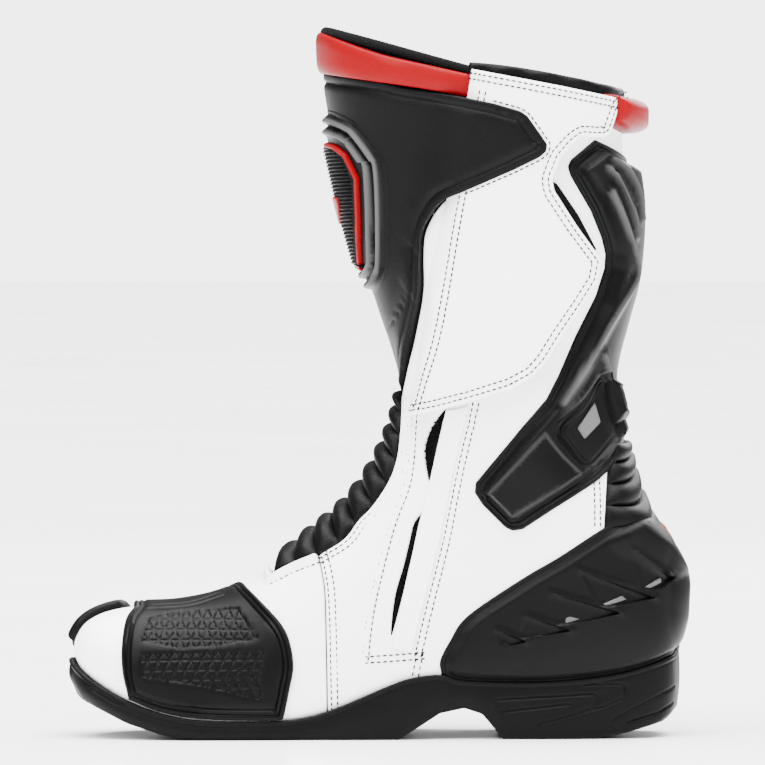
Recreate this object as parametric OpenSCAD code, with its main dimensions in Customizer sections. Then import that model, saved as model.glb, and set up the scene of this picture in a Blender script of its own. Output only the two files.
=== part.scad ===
// Right-foot motorcycle riding boot: moulded armour over stitched leather, zip and hook closure.
// X runs from toe (minus) to heel (plus), Y from the inner side (minus) to the outer side, Z up.
// The origin is on the ground, under the middle of the boot.

/* [Boot] */
// Length of the boot, toe to heel
boot_length = 309; // [290:1:325]
// Height of the boot at the front of the rim
boot_height = 349; // [330:1:370]
// Width over the calf
boot_width = 122; // [112:1:130]

/* [Layers] */
// Thickness of the outer leather
leather_t = 1.8; // [1.2:0.1:2.2]
// Thickness of the padded lining
lining_t = 3; // [2:0.1:4]
// Clearance between one layer and the next
layer_gap = 0.5; // [0.4:0.05:0.7]
// Thickness of the footbed
footbed_t = 3; // [2:0.5:4]
// Thickness of the closure flap
flap_t = 1.9; // [1.4:0.1:2.4]

/* [Armour] */
// Thickness of the rubber shift pad
pad_t = 2.6; // [2:0.1:3.5]
// Thickness of the heel cup
cup_t = 3.4; // [2.5:0.1:4]
// Thickness of the calf brace
brace_t = 4.6; // [3:0.1:5]
// Thickness of the shin guard
guard_t = 4; // [3:0.1:5]
// Thickness of the toe slider
slider_pad_t = 3.6; // [2.5:0.1:5]

/* [Bellows] */
// Number of ribs over the instep
front_ribs = 9; // [7:1:11]
// Number of ribs over the heel tendon
rear_ribs = 4; // [3:1:6]
// Height of a rib
rib_h = 3.2; // [2:0.1:4]

/* [Sole] */
// Thickness of the sole's side wall
sole_wall = 3; // [2.5:0.1:3.5]

/* [Zip] */
// Width of the zip tape
tape_w = 15; // [12:0.5:18]
// Width of the closed zip chain
chain_w = 5.4; // [4.5:0.1:6]
// Length of the slider
slider_l = 13; // [11:0.5:16]
// Length of the pull tab
puller_l = 20; // [16:1:22]
// Diameter of the pull tab's pin
pin_d = 2.6; // [2:0.1:3]

/* [Hidden] */

// The reference surface was drawn at this size and is stretched to the driving sizes
STRETCH = [boot_length / 309, boot_width / 122, boot_height / 349];

// Sections of the reference surface, from the toe tip to the rim. Each has the x and z of its front
// point, the x and z of its back point, its half width, the y of its middle, the place of its widest
// point (0 front, 1 back), and the squareness of its front and back halves.
SECTIONS = [
    [-150.0,  44.0, -150.0,  43.0,  0.0, -7.0, 0.50, 2.2, 2.2],
    [-148.0,  51.0, -148.0,  35.5, 14.0, -7.0, 0.52, 2.2, 2.4],
    [-143.0,  57.0, -142.0,  27.0, 25.0, -7.0, 0.55, 2.2, 2.7],
    [-133.5,  61.5, -131.0,  18.0, 33.5, -6.0, 0.60, 2.2, 3.2],
    [-119.0,  64.0, -114.0,   9.5, 40.5, -4.0, 0.66, 2.2, 4.0],
    [ -99.0,  65.0,  -92.0,   5.0, 45.0, -2.0, 0.72, 2.2, 5.0],
    [ -79.0,  69.0,  -70.0,   4.5, 47.0,  0.0, 0.74, 2.3, 5.0],
    [ -61.0,  77.0,  -45.0,   5.0, 47.0,  0.5, 0.72, 2.3, 5.0],
    [ -46.0,  89.0,  -15.0,  10.0, 45.5,  1.0, 0.68, 2.4, 5.0],
    [ -30.0, 102.0,   20.0,  19.0, 43.5,  1.5, 0.62, 2.6, 5.0],
    [ -16.0, 114.0,   60.0,  22.0, 42.5,  1.5, 0.58, 2.8, 4.8],
    [  -4.0, 129.0,  100.0,  22.5, 42.5,  1.5, 0.54, 3.0, 4.6],
    [   4.5, 145.0,  140.0,  34.0, 42.5,  1.5, 0.50, 3.0, 3.8],
    [  10.0, 160.0,  149.0,  62.0, 43.5,  1.5, 0.48, 3.0, 2.8],
    [  12.0, 175.0,  146.0,  89.0, 45.0,  1.5, 0.47, 2.9, 2.4],
    [   8.0, 192.0,  130.0, 117.0, 46.0,  2.0, 0.47, 2.7, 2.3],
    [   1.5, 211.0,  121.5, 146.0, 47.5,  2.0, 0.48, 2.5, 2.3],
    [  -5.5, 234.0,  114.0, 175.0, 49.0,  2.5, 0.49, 2.4, 2.3],
    [ -12.5, 259.0,  119.0, 204.0, 50.5,  2.5, 0.50, 2.3, 2.3],
    [ -18.5, 284.0,  123.5, 233.0, 52.0,  3.0, 0.50, 2.3, 2.3],
    [ -23.5, 308.0,  125.0, 262.0, 53.0,  3.0, 0.50, 2.3, 2.3],
    [ -26.5, 328.0,  122.0, 288.0, 54.0,  3.0, 0.50, 2.3, 2.3],
    [ -27.5, 345.0,  122.0, 312.0, 54.5,  3.0, 0.50, 2.3, 2.3]
];
LAST_SECTION = len(SECTIONS) - 1;

// Depths below the surface and heights above it, from the inside out
LEATHER = [-leather_t, 0];
LINING = [-leather_t - layer_gap - lining_t - 0.5, -leather_t - layer_gap - 0.5];
FOOTBED = [LINING[0] - layer_gap - footbed_t - 1.3, LINING[0] - layer_gap - 1.3];
TAPE = [0.4, 0.8];
CHAIN = [0.9, 1.5];
HOOK = [0.5, 3];
LOOP = [3.5, 6.1];
FLAP = [6.6, 6.6 + flap_t];
WING = [FLAP[1] + 0.4, FLAP[1] + 1.8];
function over(t) = [layer_gap, layer_gap + t];

// Where the upper meets the sole, drawn in the side view (x, z)
FEATHER = [[-149, 39], [-146.5, 35], [-138, 28.5], [-123, 20], [-106, 13.5], [-86, 10], [-50, 9.5],
    [-28, 13], [5, 26.5], [17, 30.5], [31, 32], [44, 29], [84, 28.5], [116, 32], [136, 37.5],
    [149.5, 43.5]];
// Underside of the sole: toe spring, tread, arch, heel
SOLE_UNDER = [[-155, 29], [-147, 19.5], [-123, 8], [-106, 2.5], [-88, 0], [10, 0], [18, 4.5],
    [31, 13], [43, 15.5], [52, 12.5], [57, 6.5], [62, 0], [108, 0], [124, 3], [141, 8], [152, 14.5]];
// The ankle flexes between these two lines
FLEX_LOW = [[-50, 78], [134, 110]];
FLEX_HIGH = [[11, 167], [120, 180]];
// Edge of the ribbed gusset over the instep
GUSSET_EDGE = [[-51.5, 80], [-41.5, 85], [-29.5, 90.5], [-17, 98.5], [-10, 107.5], [-3.5, 114],
    [2, 121.5], [6, 128.5], [9, 137], [10.5, 146], [11.5, 157], [12, 166]];
// Edge of the ribbed gusset behind the ankle
REAR_EDGE = [[110.5, 107], [112.5, 127.5], [112, 150], [109, 178]];
// Rear edge of the shin panel, below the closure flap
SHIN_EDGE = [[12.5, 169], [18.5, 201], [21.5, 225], [22, 248], [27, 260], [36, 268.5]];
// The closure flap turns about this line, and the zip lies behind it
HINGE = [[53.9, 328.3], [23.5, 164.5]];
ZIP = [[63.7, 313], [6.4, 49]];

// ---- Reference surface ----

function row(i) =
    i < 0 ? [SECTIONS[1][2], SECTIONS[1][3], SECTIONS[1][0], SECTIONS[1][1], -SECTIONS[1][4],
        for (k = [5:8]) SECTIONS[1][k]]
    : i > LAST_SECTION ? 2 * SECTIONS[LAST_SECTION] - SECTIONS[LAST_SECTION - 1]
    : SECTIONS[i];

function spline(a, b, c, d, t) =
    (2 * b + (c - a) * t + (2 * a - 5 * b + 4 * c - d) * t * t + (3 * b - a - 3 * c + d) * t * t * t) / 2;

function section(s) =
    let (i = min(floor(max(s, 0)), LAST_SECTION - 1))
    spline(row(i - 1), row(i), row(i + 1), row(i + 2), s - i);

// A point of the surface: s counts sections from the toe, phi is 0 in front and 180 at the back,
// and negative on the inner side
function surface_point(s, phi) =
    let (r = section(s), front = [r[0], r[1]], chord = [r[2], r[3]] - front, l = norm(chord))
    let (place = r[6] * l, depth = cos(phi) >= 0 ? place : l - place)
    let (n = cos(phi) >= 0 ? r[7] : r[8], w = max(r[4], 0.01))
    let (radius = pow(pow(abs(cos(phi)) / depth, n) + pow(abs(sin(phi)) / w, n), -1 / n))
    let (p = front + chord / l * (place - radius * cos(phi)))
    [p[0], r[5] + radius * sin(phi), p[1]];

function outward(s, phi) =
    let (along = surface_point(s + 0.02, phi) - surface_point(s - 0.02, phi))
    let (round = surface_point(s, phi + 0.4) - surface_point(s, phi - 0.4), n = cross(along, round))
    n / norm(n);

function stretched(p) = [for (k = [0:2]) p[k] * STRETCH[k]];

// The place at height d over the surface
function at(c, d = 0) = stretched(surface_point(c[0], c[1])) + d * outward(c[0], c[1]);

// How far a side-view point p lies past the line of section s
function past(p, s) =
    let (r = section(s))
    (r[2] - r[0]) * (p[1] - r[1]) - (r[3] - r[1]) * (p[0] - r[0]);

function find_section(p, low = 0, high = LAST_SECTION, steps = 18) =
    let (middle = (low + high) / 2)
    steps == 0 ? middle
    : past(p, middle) > 0 ? find_section(p, middle, high, steps - 1)
    : find_section(p, low, middle, steps - 1);

// The surface coordinates of a point (x, z) of the side view; side is -1 inner, 1 outer
function locate(p, side) =
    let (s = find_section(p), r = section(s), chord = [r[2] - r[0], r[3] - r[1]], l = norm(chord))
    let (k = (p - [r[0], r[1]]) * chord / l - r[6] * l, a = k < 0 ? r[6] * l : l - r[6] * l)
    let (n = k < 0 ? r[7] : r[8], y = r[4] * pow(max(1 - pow(abs(k / a), n), 0), 1 / n))
    [s, atan2(side * y, -k)];

// ---- Lines on the surface ----

function mix(a, b, t) = a + (b - a) * t;

// A smooth line through points, and a line cut into short straight pieces
function bend(p) =
    let (n = len(p) - 1)
    concat([for (i = [0:n - 1], t = [0:0.25:0.9])
        spline(p[max(i - 1, 0)], p[i], p[i + 1], p[min(i + 2, n)], t)], [p[n]]);
function cut(p) = concat([for (i = [0:len(p) - 2], t = [0:0.2:0.9]) mix(p[i], p[i + 1], t)], [p[len(p) - 1]]);

// Side-view points carried onto the inner or the outer side
function on_side(p, side = -1) = [for (q = p) locate(q, side)];
function medial(p) = on_side(bend(p));
function medial_line(a, b) = on_side(cut([a, b]));
function lateral(p) = on_side(bend(p), 1);
function reversed(p) = [for (i = [len(p) - 1:-1:0]) p[i]];
function mirrored(p) = [for (c = p) [c[0], -c[1]]];
// The same line on the outer side, counted on round the back
function behind(p) = [for (c = p) [c[0], -360 - c[1]]];
// An inner line carried on over the front, or round the back, to the outer side
function round_front(p) = concat(p, reversed(mirrored(p)));
function round_back(p) = concat(p, reversed(behind(p)));

// n equal steps along a line on the surface
function even(line, n) =
    let (p = cut(line), q = [for (c = p) at(c)])
    let (step = [for (i = [0:len(p) - 1]) i < len(p) - 1 ? norm(q[i + 1] - q[i]) : 0])
    let (run = [for (i = 0, d = 0; i < len(p); d = d + step[i], i = i + 1) d])
    [for (k = [0:n])
        let (d = run[len(p) - 1] * k / n, i = max([for (j = [0:len(p) - 2]) if (run[j] <= d) j]))
        mix(p[i], p[i + 1], min((d - run[i]) / max(run[i + 1] - run[i], 1e-6), 1))];

// A grid between the lines a and b, which may have its own start and finish lines
function grid(a, b, nu, nv, start = undef, finish = undef) =
    let (p = even(a, nu), q = even(b, nu))
    let (l = is_undef(start) ? [for (j = [0:nv]) mix(p[0], q[0], j / nv)] : even(start, nv))
    let (r = is_undef(finish) ? [for (j = [0:nv]) mix(p[nu], q[nu], j / nv)] : even(finish, nv))
    [for (j = [0:nv]) let (v = j / nv)
        [for (i = [0:nu]) let (u = i / nu)
            mix(p[i], q[i], v) + mix(l[j], r[j], u)
                - mix(mix(p[0], p[nu], u), mix(q[0], q[nu], u), v)]];

// Height of a surface line z = z(x) over a straight side-view line
function above(c, line) =
    let (p = surface_point(c[0], c[1]), d = line[1] - line[0])
    p[2] - line[0][1] - (p[0] - line[0][0]) * d[1] / d[0];
function crossing(phi, line, low, high, steps = 16) =
    let (middle = (low + high) / 2)
    steps == 0 ? middle
    : above([middle, phi], line) < 0 ? crossing(phi, line, middle, high, steps - 1)
    : crossing(phi, line, low, middle, steps - 1);

// ---- Solids on the surface ----

function turn(face, flip) = flip ? reversed(face) : face;
function area(g) =
    let (p = g[0][0], a = g[len(g) - 1][0] - p, b = g[0][len(g[0]) - 1] - p)
    let (c = g[len(g) - 1][len(g[0]) - 1] - p)
    a[0] * c[1] - a[1] * c[0] + c[0] * b[1] - c[1] * b[0];

// A panel over a grid between two heights; puff swells its middle and ribs run across it
module panel(g, heights, puff = 0, ribs = 0, rib = 0) {
    nv = len(g) - 1;
    nu = len(g[0]) - 1;
    top = [for (j = [0:nv], i = [0:nu])
        at(g[j][i], heights[1] + puff * pow(sin(180 * i / nu) * sin(180 * j / nv), 0.5)
            + rib * abs(sin(180 * ribs * j / nv)) * pow(sin(180 * i / nu), 0.3))];
    under = [for (j = [0:nv], i = [0:nu]) at(g[j][i], heights[0])];
    flip = area(g) < 0;
    m = (nv + 1) * (nu + 1);
    function id(i, j) = j * (nu + 1) + i;
    function quad(a, b, c, d) = [turn([a, b, c], flip), turn([a, c, d], flip)];
    faces = concat(
        [for (j = [0:nv - 1], i = [0:nu - 1])
            each quad(id(i, j), id(i + 1, j), id(i + 1, j + 1), id(i, j + 1))],
        [for (j = [0:nv - 1], i = [0:nu - 1])
            each quad(m + id(i, j), m + id(i, j + 1), m + id(i + 1, j + 1), m + id(i + 1, j))],
        [for (i = [0:nu - 1])
            each quad(id(i, 0), m + id(i, 0), m + id(i + 1, 0), id(i + 1, 0))],
        [for (i = [0:nu - 1])
            each quad(id(i + 1, nv), m + id(i + 1, nv), m + id(i, nv), id(i, nv))],
        [for (j = [0:nv - 1])
            each quad(id(0, j + 1), m + id(0, j + 1), m + id(0, j), id(0, j))],
        [for (j = [0:nv - 1])
            each quad(id(nu, j), m + id(nu, j), m + id(nu, j + 1), id(nu, j + 1))]);
    polyhedron(concat(top, under), faces, convexity = 8);
}

// A closed sleeve: each row of the grid goes once round; tip closes the first row with a point
module sleeve(g, heights, tip = false) {
    nv = len(g) - 1;
    nu = len(g[0]);
    m = (nv + 1) * nu;
    top = [for (r = g, c = r) at(c, heights[1])];
    under = [for (r = g, c = r) at(c, heights[0])];
    ends = [for (h = [heights[1], heights[0]]) stretched(surface_point(0, 0)) - [h, 0, 0]];
    function id(i, j) = j * nu + i % nu;
    function quad(a, b, c, d) = [[a, b, c], [a, c, d]];
    function point(i) = [[2 * m, id(i + 1, 0), id(i, 0)], [2 * m + 1, m + id(i, 0), m + id(i + 1, 0)]];
    first = tip ? [for (i = [0:nu - 1]) each point(i)]
        : [for (i = [0:nu - 1]) each quad(id(i, 0), m + id(i, 0), m + id(i + 1, 0), id(i + 1, 0))];
    faces = concat(first,
        [for (j = [0:nv - 1], i = [0:nu - 1])
            each quad(id(i, j), id(i + 1, j), id(i + 1, j + 1), id(i, j + 1))],
        [for (j = [0:nv - 1], i = [0:nu - 1])
            each quad(m + id(i, j), m + id(i, j + 1), m + id(i + 1, j + 1), m + id(i + 1, j))],
        [for (i = [0:nu - 1])
            each quad(id(i + 1, nv), m + id(i + 1, nv), m + id(i, nv), id(i, nv))]);
    polyhedron(tip ? concat(top, under, ends) : concat(top, under), faces, convexity = 8);
}

// Puts its children on the surface, their z outward
module stand(c, d = 0) {
    n = outward(c[0], c[1]);
    translate(at(c, d)) rotate([0, acos(n[2]), atan2(n[1], n[0])]) children();
}

// ---- Sole ----

// Height of a side-view line at x
function height_at(p, x) =
    let (i = max([0, for (j = [0:len(p) - 2]) if (p[j][0] <= x) j]))
    mix(p[i][1], p[i + 1][1], min((x - p[i][0]) / (p[i + 1][0] - p[i][0]), 1));
// The bottom of the reference surface
BOTTOM = [for (k = [1:12]) [SECTIONS[k][2], SECTIONS[k][3]]];

// Outward from the surface, level with the ground
function flat_out(c) = let (q = outward(c[0], c[1]), h = norm([q[0], q[1]])) [q[0] / h, q[1] / h, 0];
function rim_point(c, out, z) = let (p = at(c) + out * flat_out(c)) [p[0], p[1], z];

module outsole() {
    n = 44;
    seat = even(medial(FEATHER), n);
    ring = concat(seat, behind([for (i = [n - 1:-1:1]) seat[i]]));
    m = len(ring);
    inner = layer_gap;
    outer = inner + sole_wall;
    soles = [for (c = ring)
        rim_point(c, outer - 1.2, height_at(SOLE_UNDER, rim_point(c, outer, 0)[0] / STRETCH[0]))];
    tops = [for (c = ring) rim_point(c, outer, at(c)[2])];
    lips = [for (c = ring) rim_point(c, inner, at(c)[2])];
    floors = [for (c = ring)
        rim_point(c, inner, height_at(BOTTOM, at(c)[0] / STRETCH[0]) * STRETCH[2] - layer_gap - 0.6)];
    function next(k) = (k + 1) % m;
    function band(a, b) = [for (k = [0:m - 1]) each
        [[a + k, b + k, b + next(k)], [a + k, b + next(k), a + next(k)]]];
    function plate(a, up) = [for (i = [0:n - 1])
        let (l = (m - i) % m, r = m - i - 1)
        each [
            if (i > 0) turn([a + i, a + l, a + r], up),
            if (i < n - 1) turn([a + i, a + r, a + i + 1], up)]];
    color("#1c1c1e")
        polyhedron(concat(soles, tops, lips, floors),
            concat(band(0, m), band(m, 2 * m), band(2 * m, 3 * m), plate(0, true), plate(3 * m, false)),
            convexity = 8);
}

// A strip of the underside of the surface, to a share f of its half width
function under_phi(s, f) =
    let (r = section(s), l = norm([r[2] - r[0], r[3] - r[1]]) * (1 - r[6]))
    atan2(-f * r[4], -l * pow(1 - pow(f, r[8]), 1 / r[8]));
function under_edge(first, last, f) =
    [for (s = [first:(last - first) / 12:last + 0.01]) [s, under_phi(s, f)]];
module under_strip(first, last, f, heights) {
    edge = under_edge(first, last, f);
    panel(grid(edge, behind(edge), 12, 8), heights);
}

module insole_board() color("#5b4a38") under_strip(2.8, 11.2, 0.7, [-1.6, -0.3]);
module footbed() color("#26262a") under_strip(2.2, 11.2, 0.6, FOOTBED);

// ---- Foot ----

FOOT_LOW = [for (p = FEATHER) p - [0, 1.6]];
TOE_S = 2.9;
function feather_between(a, b) = [for (c = even(medial(FOOT_LOW), 60)) if (c[0] >= a && c[0] <= b) c];
VAMP_SEAM = [[-24, 13], [-26, 35], [-27, 58], [-30, 81]];

// The place at a share t of the foot's lining, from the toe to the ankle
function in_foot(t, phi) = [mix(0.3, crossing(phi, FLEX_LOW, 5, 16.5) - 0.06, t), phi];
module foot_lining(from, to) color("#2a2a2d") {
    nu = 30;
    nv = 6;
    g = [for (j = [0:nv]) [for (i = [0:nu - 1]) in_foot(mix(from, to, j / nv), 360 * i / nu - 180)]];
    sleeve(g, LINING, from == 0);
}
module foot_lining_toe() foot_lining(0, 0.3);
module foot_lining_middle() foot_lining(0.31, 0.62);
module foot_lining_side(side) color("#2a2a2d")
    panel([for (t = [0.65:0.07:1.001]) [for (phi = [0.5:11.2:180]) in_foot(t, side * phi)]], LINING);
module foot_lining_heel_medial() foot_lining_side(-1);
module foot_lining_heel_lateral() foot_lining_side(1);

module toe_cap() color("#f2f2f0") {
    edge = feather_between(0.75, TOE_S);
    panel(grid(concat([[0.15, -150]], edge), mirrored(concat([[0.15, -150]], edge)), 8, 14), LEATHER);
}

module vamp() color("#f2f2f0") {
    low = feather_between(TOE_S + 0.03, 7.93);
    front = round_front([low[0], [TOE_S + 0.03, -30]]);
    back = round_front(concat(medial(VAMP_SEAM), medial_line([-33, 80], [-53.5, 77]), [[8.05, 0]]));
    edge = concat(low, [medial(VAMP_SEAM)[0]]);
    panel(grid(front, back, 28, 7, edge, mirrored(edge)), LEATHER);
}

function quarter() =
    let (low = feather_between(8.05, 13))
    let (top = medial_line([-28.5, 81.2], [131.8, 108.6]), seam = medial([for (p = VAMP_SEAM) p + [1.4, 0]]))
    grid(concat([seam[0]], low), concat([seam[len(seam) - 1]], top), 18, 7, seam);
module quarter_medial() color("#f2f2f0") panel(quarter(), LEATHER);
module quarter_lateral() color("#f2f2f0") panel([for (r = quarter()) mirrored(r)], LEATHER);

module shift_pad() color("#19191b") {
    side_front = medial([[-121, 21], [-124.5, 32], [-125.5, 44], [-124, 58], [-120, 62]]);
    side_back = medial([[-45.5, 12.5], [-43, 24.5], [-41, 38], [-45, 54], [-56.5, 67], [-66, 72]]);
    front = concat(side_front, [[3.9, 0], [4.1, 30]]);
    back = concat(side_back, [[6.5, 0], [5.9, 30]]);
    low = medial([[-121, 21], [-106, 15], [-86, 11.5], [-50, 11], [-45.5, 12.5]]);
    panel(grid(front, back, 16, 10, low), over(pad_t), 0.8);
}

TOE_SLIDER_TOP = [[0.9, 32], [1.3, 12], [2, 4], [3, 3], [3.6, 8], [3.9, 30]];
TOE_SLIDER_LOW = [[-147.5, 41], [-139, 35.5], [-121, 29], [-97, 28]];
module toe_slider() color("#17171a")
    panel(grid(lateral(TOE_SLIDER_LOW), bend(TOE_SLIDER_TOP), 12, 6), over(slider_pad_t), 0.6);
module slider_screw(x) color("#8f9296")
    stand(locate([x, 43], 1), layer_gap + slider_pad_t + 0.9) cylinder(d = 6, h = 1.2, $fn = 32);
module toe_slider_screw_1() slider_screw(-132);
module toe_slider_screw_2() slider_screw(-110);

CUP_TOP = [[36, 49], [44.5, 61], [70, 78.5], [89.5, 90], [109.5, 103], [121.5, 109], [131, 111]];
CUP_LOW = [[31.5, 33.5], [44, 30.5], [84, 30], [116, 33.5], [136, 39], [149, 45]];
module heel_cup() color("#1b1b1e")
    panel(grid(round_back(medial(CUP_LOW)), round_back(concat(medial(CUP_TOP), [[14.9, -180]])), 28, 7,
        medial([[31.5, 33.5], [31, 39], [36, 49]])), [layer_gap + 0.4, layer_gap + cup_t], 0.6);

// Four louvred vents on each side of the heel
VENTS = [[73, 53.5], [94, 59], [116, 68], [134, 77]];
module heel_vents() color("#b9bcc0")
    for (p = VENTS, side = [-1, 1])
        stand(locate(p, side), layer_gap + cup_t + 1.3) rotate(side * 20) cube([3, 9, 0.8], center = true);
module heel_reflector() color("#c8102e")
    panel(grid([[14.15, -188], [14.15, -172]], [[14.6, -186], [14.6, -174]], 4, 3),
        [over(cup_t)[1] + 0.9, over(cup_t)[1] + 2]);

// ---- Ankle, which flexes ----

module instep_bellows() color("#3a3a3d") {
    edge = medial(GUSSET_EDGE);
    low = [edge[0], [8.45, 0], mirrored(edge)[0]];
    high = [edge[len(edge) - 1], mirrored(edge)[len(edge) - 1]];
    panel(grid(low, high, 8, 3 * front_ribs, edge, mirrored(edge)), LEATHER, 0, front_ribs, rib_h);
}

module heel_bellows() color("#3a3a3d") {
    edge = medial([for (p = REAR_EDGE) p + [1.2, 0.5]]);
    low = round_back(concat([edge[0]], medial_line([114, 108.6], [130, 111.6]), [[14.9, -180]]));
    high = round_back([edge[len(edge) - 1], [17.1, -180]]);
    panel(grid(low, high, 14, 3 * rear_ribs, edge, behind(edge)),
        [-leather_t, -1.4], 0, rear_ribs, rib_h / 2);
}

function ankle_gusset() =
    let (front = medial([for (p = GUSSET_EDGE) p + [1.8, 0.2]]), back = medial(REAR_EDGE))
    let (low = concat([front[0]], medial_line([-40, 80.6], [100, 104.9]), [back[0]]))
    let (high = concat([front[len(front) - 1]], medial_line([20, 166.8], [100, 176]), [back[len(back) - 1]]))
    grid(low, high, 14, 10, front, back);
module ankle_gusset_medial() color("#f2f2f0") panel(ankle_gusset(), LEATHER);
module ankle_gusset_lateral() color("#f2f2f0") panel([for (r = ankle_gusset()) mirrored(r)], LEATHER);

SLIT = [[32.5, 161], [23, 145.5], [25, 124], [18.5, 108], [15, 92], [9.5, 72], [6.5, 50]];
module zip_chain_lower() color("#101012")
    panel(grid(medial([for (p = SLIT) p - [2.6, 0]]), medial(SLIT), 24, 1), over(0.8));
module zip_guard_strip() color("#ededeb")
    panel(grid(medial([for (p = SLIT) [mix(8.2, 37.2, (p[1] - 50) / 111), p[1]]]),
        medial([for (p = SLIT) [mix(18.5, 45, (p[1] - 50) / 111), p[1]]]), 18, 3), over(1.2));

// ---- Shaft ----

// A stretch of the shaft's lining, between two shares of the way from the ankle to the rim
module shaft_lining(from, to) color("#2a2a2d") {
    nu = 28;
    nv = 4;
    g = [for (j = [0:nv]) [for (i = [0:nu - 1])
        let (phi = -180 + 360 * i / nu, start = crossing(phi, FLEX_HIGH, 10, 19) + 0.06)
        [mix(start, LAST_SECTION + 0.1, mix(from, to, j / nv)), phi]]];
    sleeve(g, LINING);
}
module shaft_lining_low() shaft_lining(0, 0.5);
module shaft_lining_top() shaft_lining(0.506, 1);

// A plate over the shin, between an inner line and its mirror image
module front_plate(edge, heights, nu, nv, puff = 0, ribs = 0, rib = 0)
    panel(grid(round_front([edge[0]]), round_front([edge[len(edge) - 1]]), nu, nv, edge, mirrored(edge)),
        heights, puff, ribs, rib);
module shin_panel() color("#1f1f21")
    front_plate(concat(medial(SHIN_EDGE), medial_line([37, 272], [45.5, 315])), LEATHER, 12, 12);

GUARD_EDGE = [[-1, 219], [5, 230], [5.5, 262], [4.5, 281], [-8, 301.5], [-21, 309]];
FRAME_EDGE = [[-6, 229.5], [-8.5, 240], [-9.6, 276], [-15.5, 288], [-20, 292]];
INSERT_EDGE = [[-7, 232.5], [-10, 242], [-11.6, 274], [-17, 286], [-20, 288.5]];
module shin_guard() color("#1a1a1c") front_plate(medial(GUARD_EDGE), over(guard_t), 10, 14);
module shin_guard_frame() color("#c8102e")
    front_plate(medial(FRAME_EDGE), [guard_t + 1, guard_t + 1.8], 8, 12);
module shin_guard_insert() color("#202023")
    front_plate(medial(INSERT_EDGE), [guard_t + 2.2, guard_t + 3], 6, 16, 0, 4, 0.5);

module calf_medial_front() color("#f2f2f0") {
    start = medial([for (p = SHIN_EDGE) p + [0.8, -0.6]]);
    edge = concat(start, medial_line([38.5, 272], [46.3, 318]));
    zip_edge = medial_line([29.5, 169.6], [61, 314]);
    panel(grid(edge, zip_edge, 16, 3), LEATHER);
}
module calf_medial_rear() color("#f2f2f0") {
    low = concat(medial_line([36, 171], [100, 178.4]), [[17.3, -180]]);
    high = concat(medial_line([67.5, 313.5], [100, 312]), [[21.5, -180]]);
    panel(grid(low, high, 12, 12, medial_line([36, 171], [67.5, 313.5])), LEATHER);
}
module calf_lateral() color("#f2f2f0") {
    low = concat(medial_line([13.6, 169.6], [100, 178.4]), [[17.3, -179.4]]);
    start = medial([for (p = SHIN_EDGE) p + [0.8, -0.6]]);
    edge = concat(start, medial_line([38.5, 272], [46.3, 318]));
    high = concat(medial_line([46.3, 318], [100, 312]), [[21.5, -179.4]]);
    panel(grid(mirrored(low), mirrored(high), 14, 10, mirrored(edge)), LEATHER);
}

module collar_front() color("#c8102e")
    panel(grid([[21.32, -84], [21.06, 0], [21.32, 84]], [[21.85, -88], [21.9, 0], [21.85, 88]], 20, 4),
        over(0.6), 2.4);
module collar_rear() color("#c8102e")
    panel(grid([[21.45, -210], [21.45, -150]], [[22.1, -210], [22.1, -150]], 10, 4), over(1), 8);
module collar_gusset() color("#232325")
    panel(grid([[22.16, -262], [22.16, -98]], [[22.3, -258], [22.55, -180], [22.3, -102]], 20, 3),
        [-6, -1.5], 1.5);

SPINE_EDGE = [[109, 216], [112.5, 232], [112.5, 240], [105, 260], [95, 278], [94, 284], [107, 295]];
module brace_spine() color("#1b1b1e") {
    edge = medial(SPINE_EDGE);
    panel(grid(round_back([edge[0]]), round_back([edge[len(edge) - 1]]), 14, 10, edge, behind(edge)),
        over(brace_t), 1);
}
ARM_FRONT = [[108, 214.6], [97.5, 198], [84, 168], [70, 152], [49, 127], [48, 121]];
ARM_BACK = [[120, 208.6], [118, 190], [121, 154], [115, 132], [88, 113], [67, 102.5]];
function arm() = grid(medial(ARM_FRONT), medial(ARM_BACK), 16, 6);
module brace_arm_medial() color("#1b1b1e") panel(arm(), over(brace_t));
module brace_arm_lateral() color("#1b1b1e") panel([for (r = arm()) mirrored(r)], over(brace_t));
module brace_vents() color("#b9bcc0")
    for (side = [-1, 1])
        stand(locate([103, 157], side), over(brace_t)[1] + 0.9) rotate(45) cube([9, 9, 0.8], center = true);
module rear_guard() color("#1b1b1e")
    panel(grid([[16.3, -196], [16.3, -164]], [[17, -194], [17, -166]], 8, 6),
        [over(brace_t)[1] + 0.5, over(brace_t)[1] + 1.5], 3.5);
module lateral_guard() color("#1f1f21")
    panel(grid(lateral([[40, 300], [36, 262], [44, 225]]), lateral([[88, 292], [92, 255], [76, 228]]), 10, 8),
        over(2.5), 2.6);

// ---- Zip and closure ----

function zip_at(z) = let (t = (ZIP[0][1] - z) / (ZIP[0][1] - ZIP[1][1])) [mix(ZIP[0][0], ZIP[1][0], t), z];
function zip_band(top, low, half, nu = 20) =
    grid(medial_line(zip_at(top) - [half, 0], zip_at(low) - [half, 0]),
        medial_line(zip_at(top) + [half, 0], zip_at(low) + [half, 0]), nu, 2);
module zip_tape() color("#161618") panel(zip_band(313, 172, tape_w / 2), TAPE);
module zip_chain() color("#6f7276") panel(zip_band(309, 176, chain_w / 2), CHAIN);
module zip_stops() color("#6f7276")
    for (z = [311.4, 173.8])
        panel(zip_band(z + 1, z - 1, chain_w / 2, 2), [CHAIN[0], CHAIN[1] + 0.8]);

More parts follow.
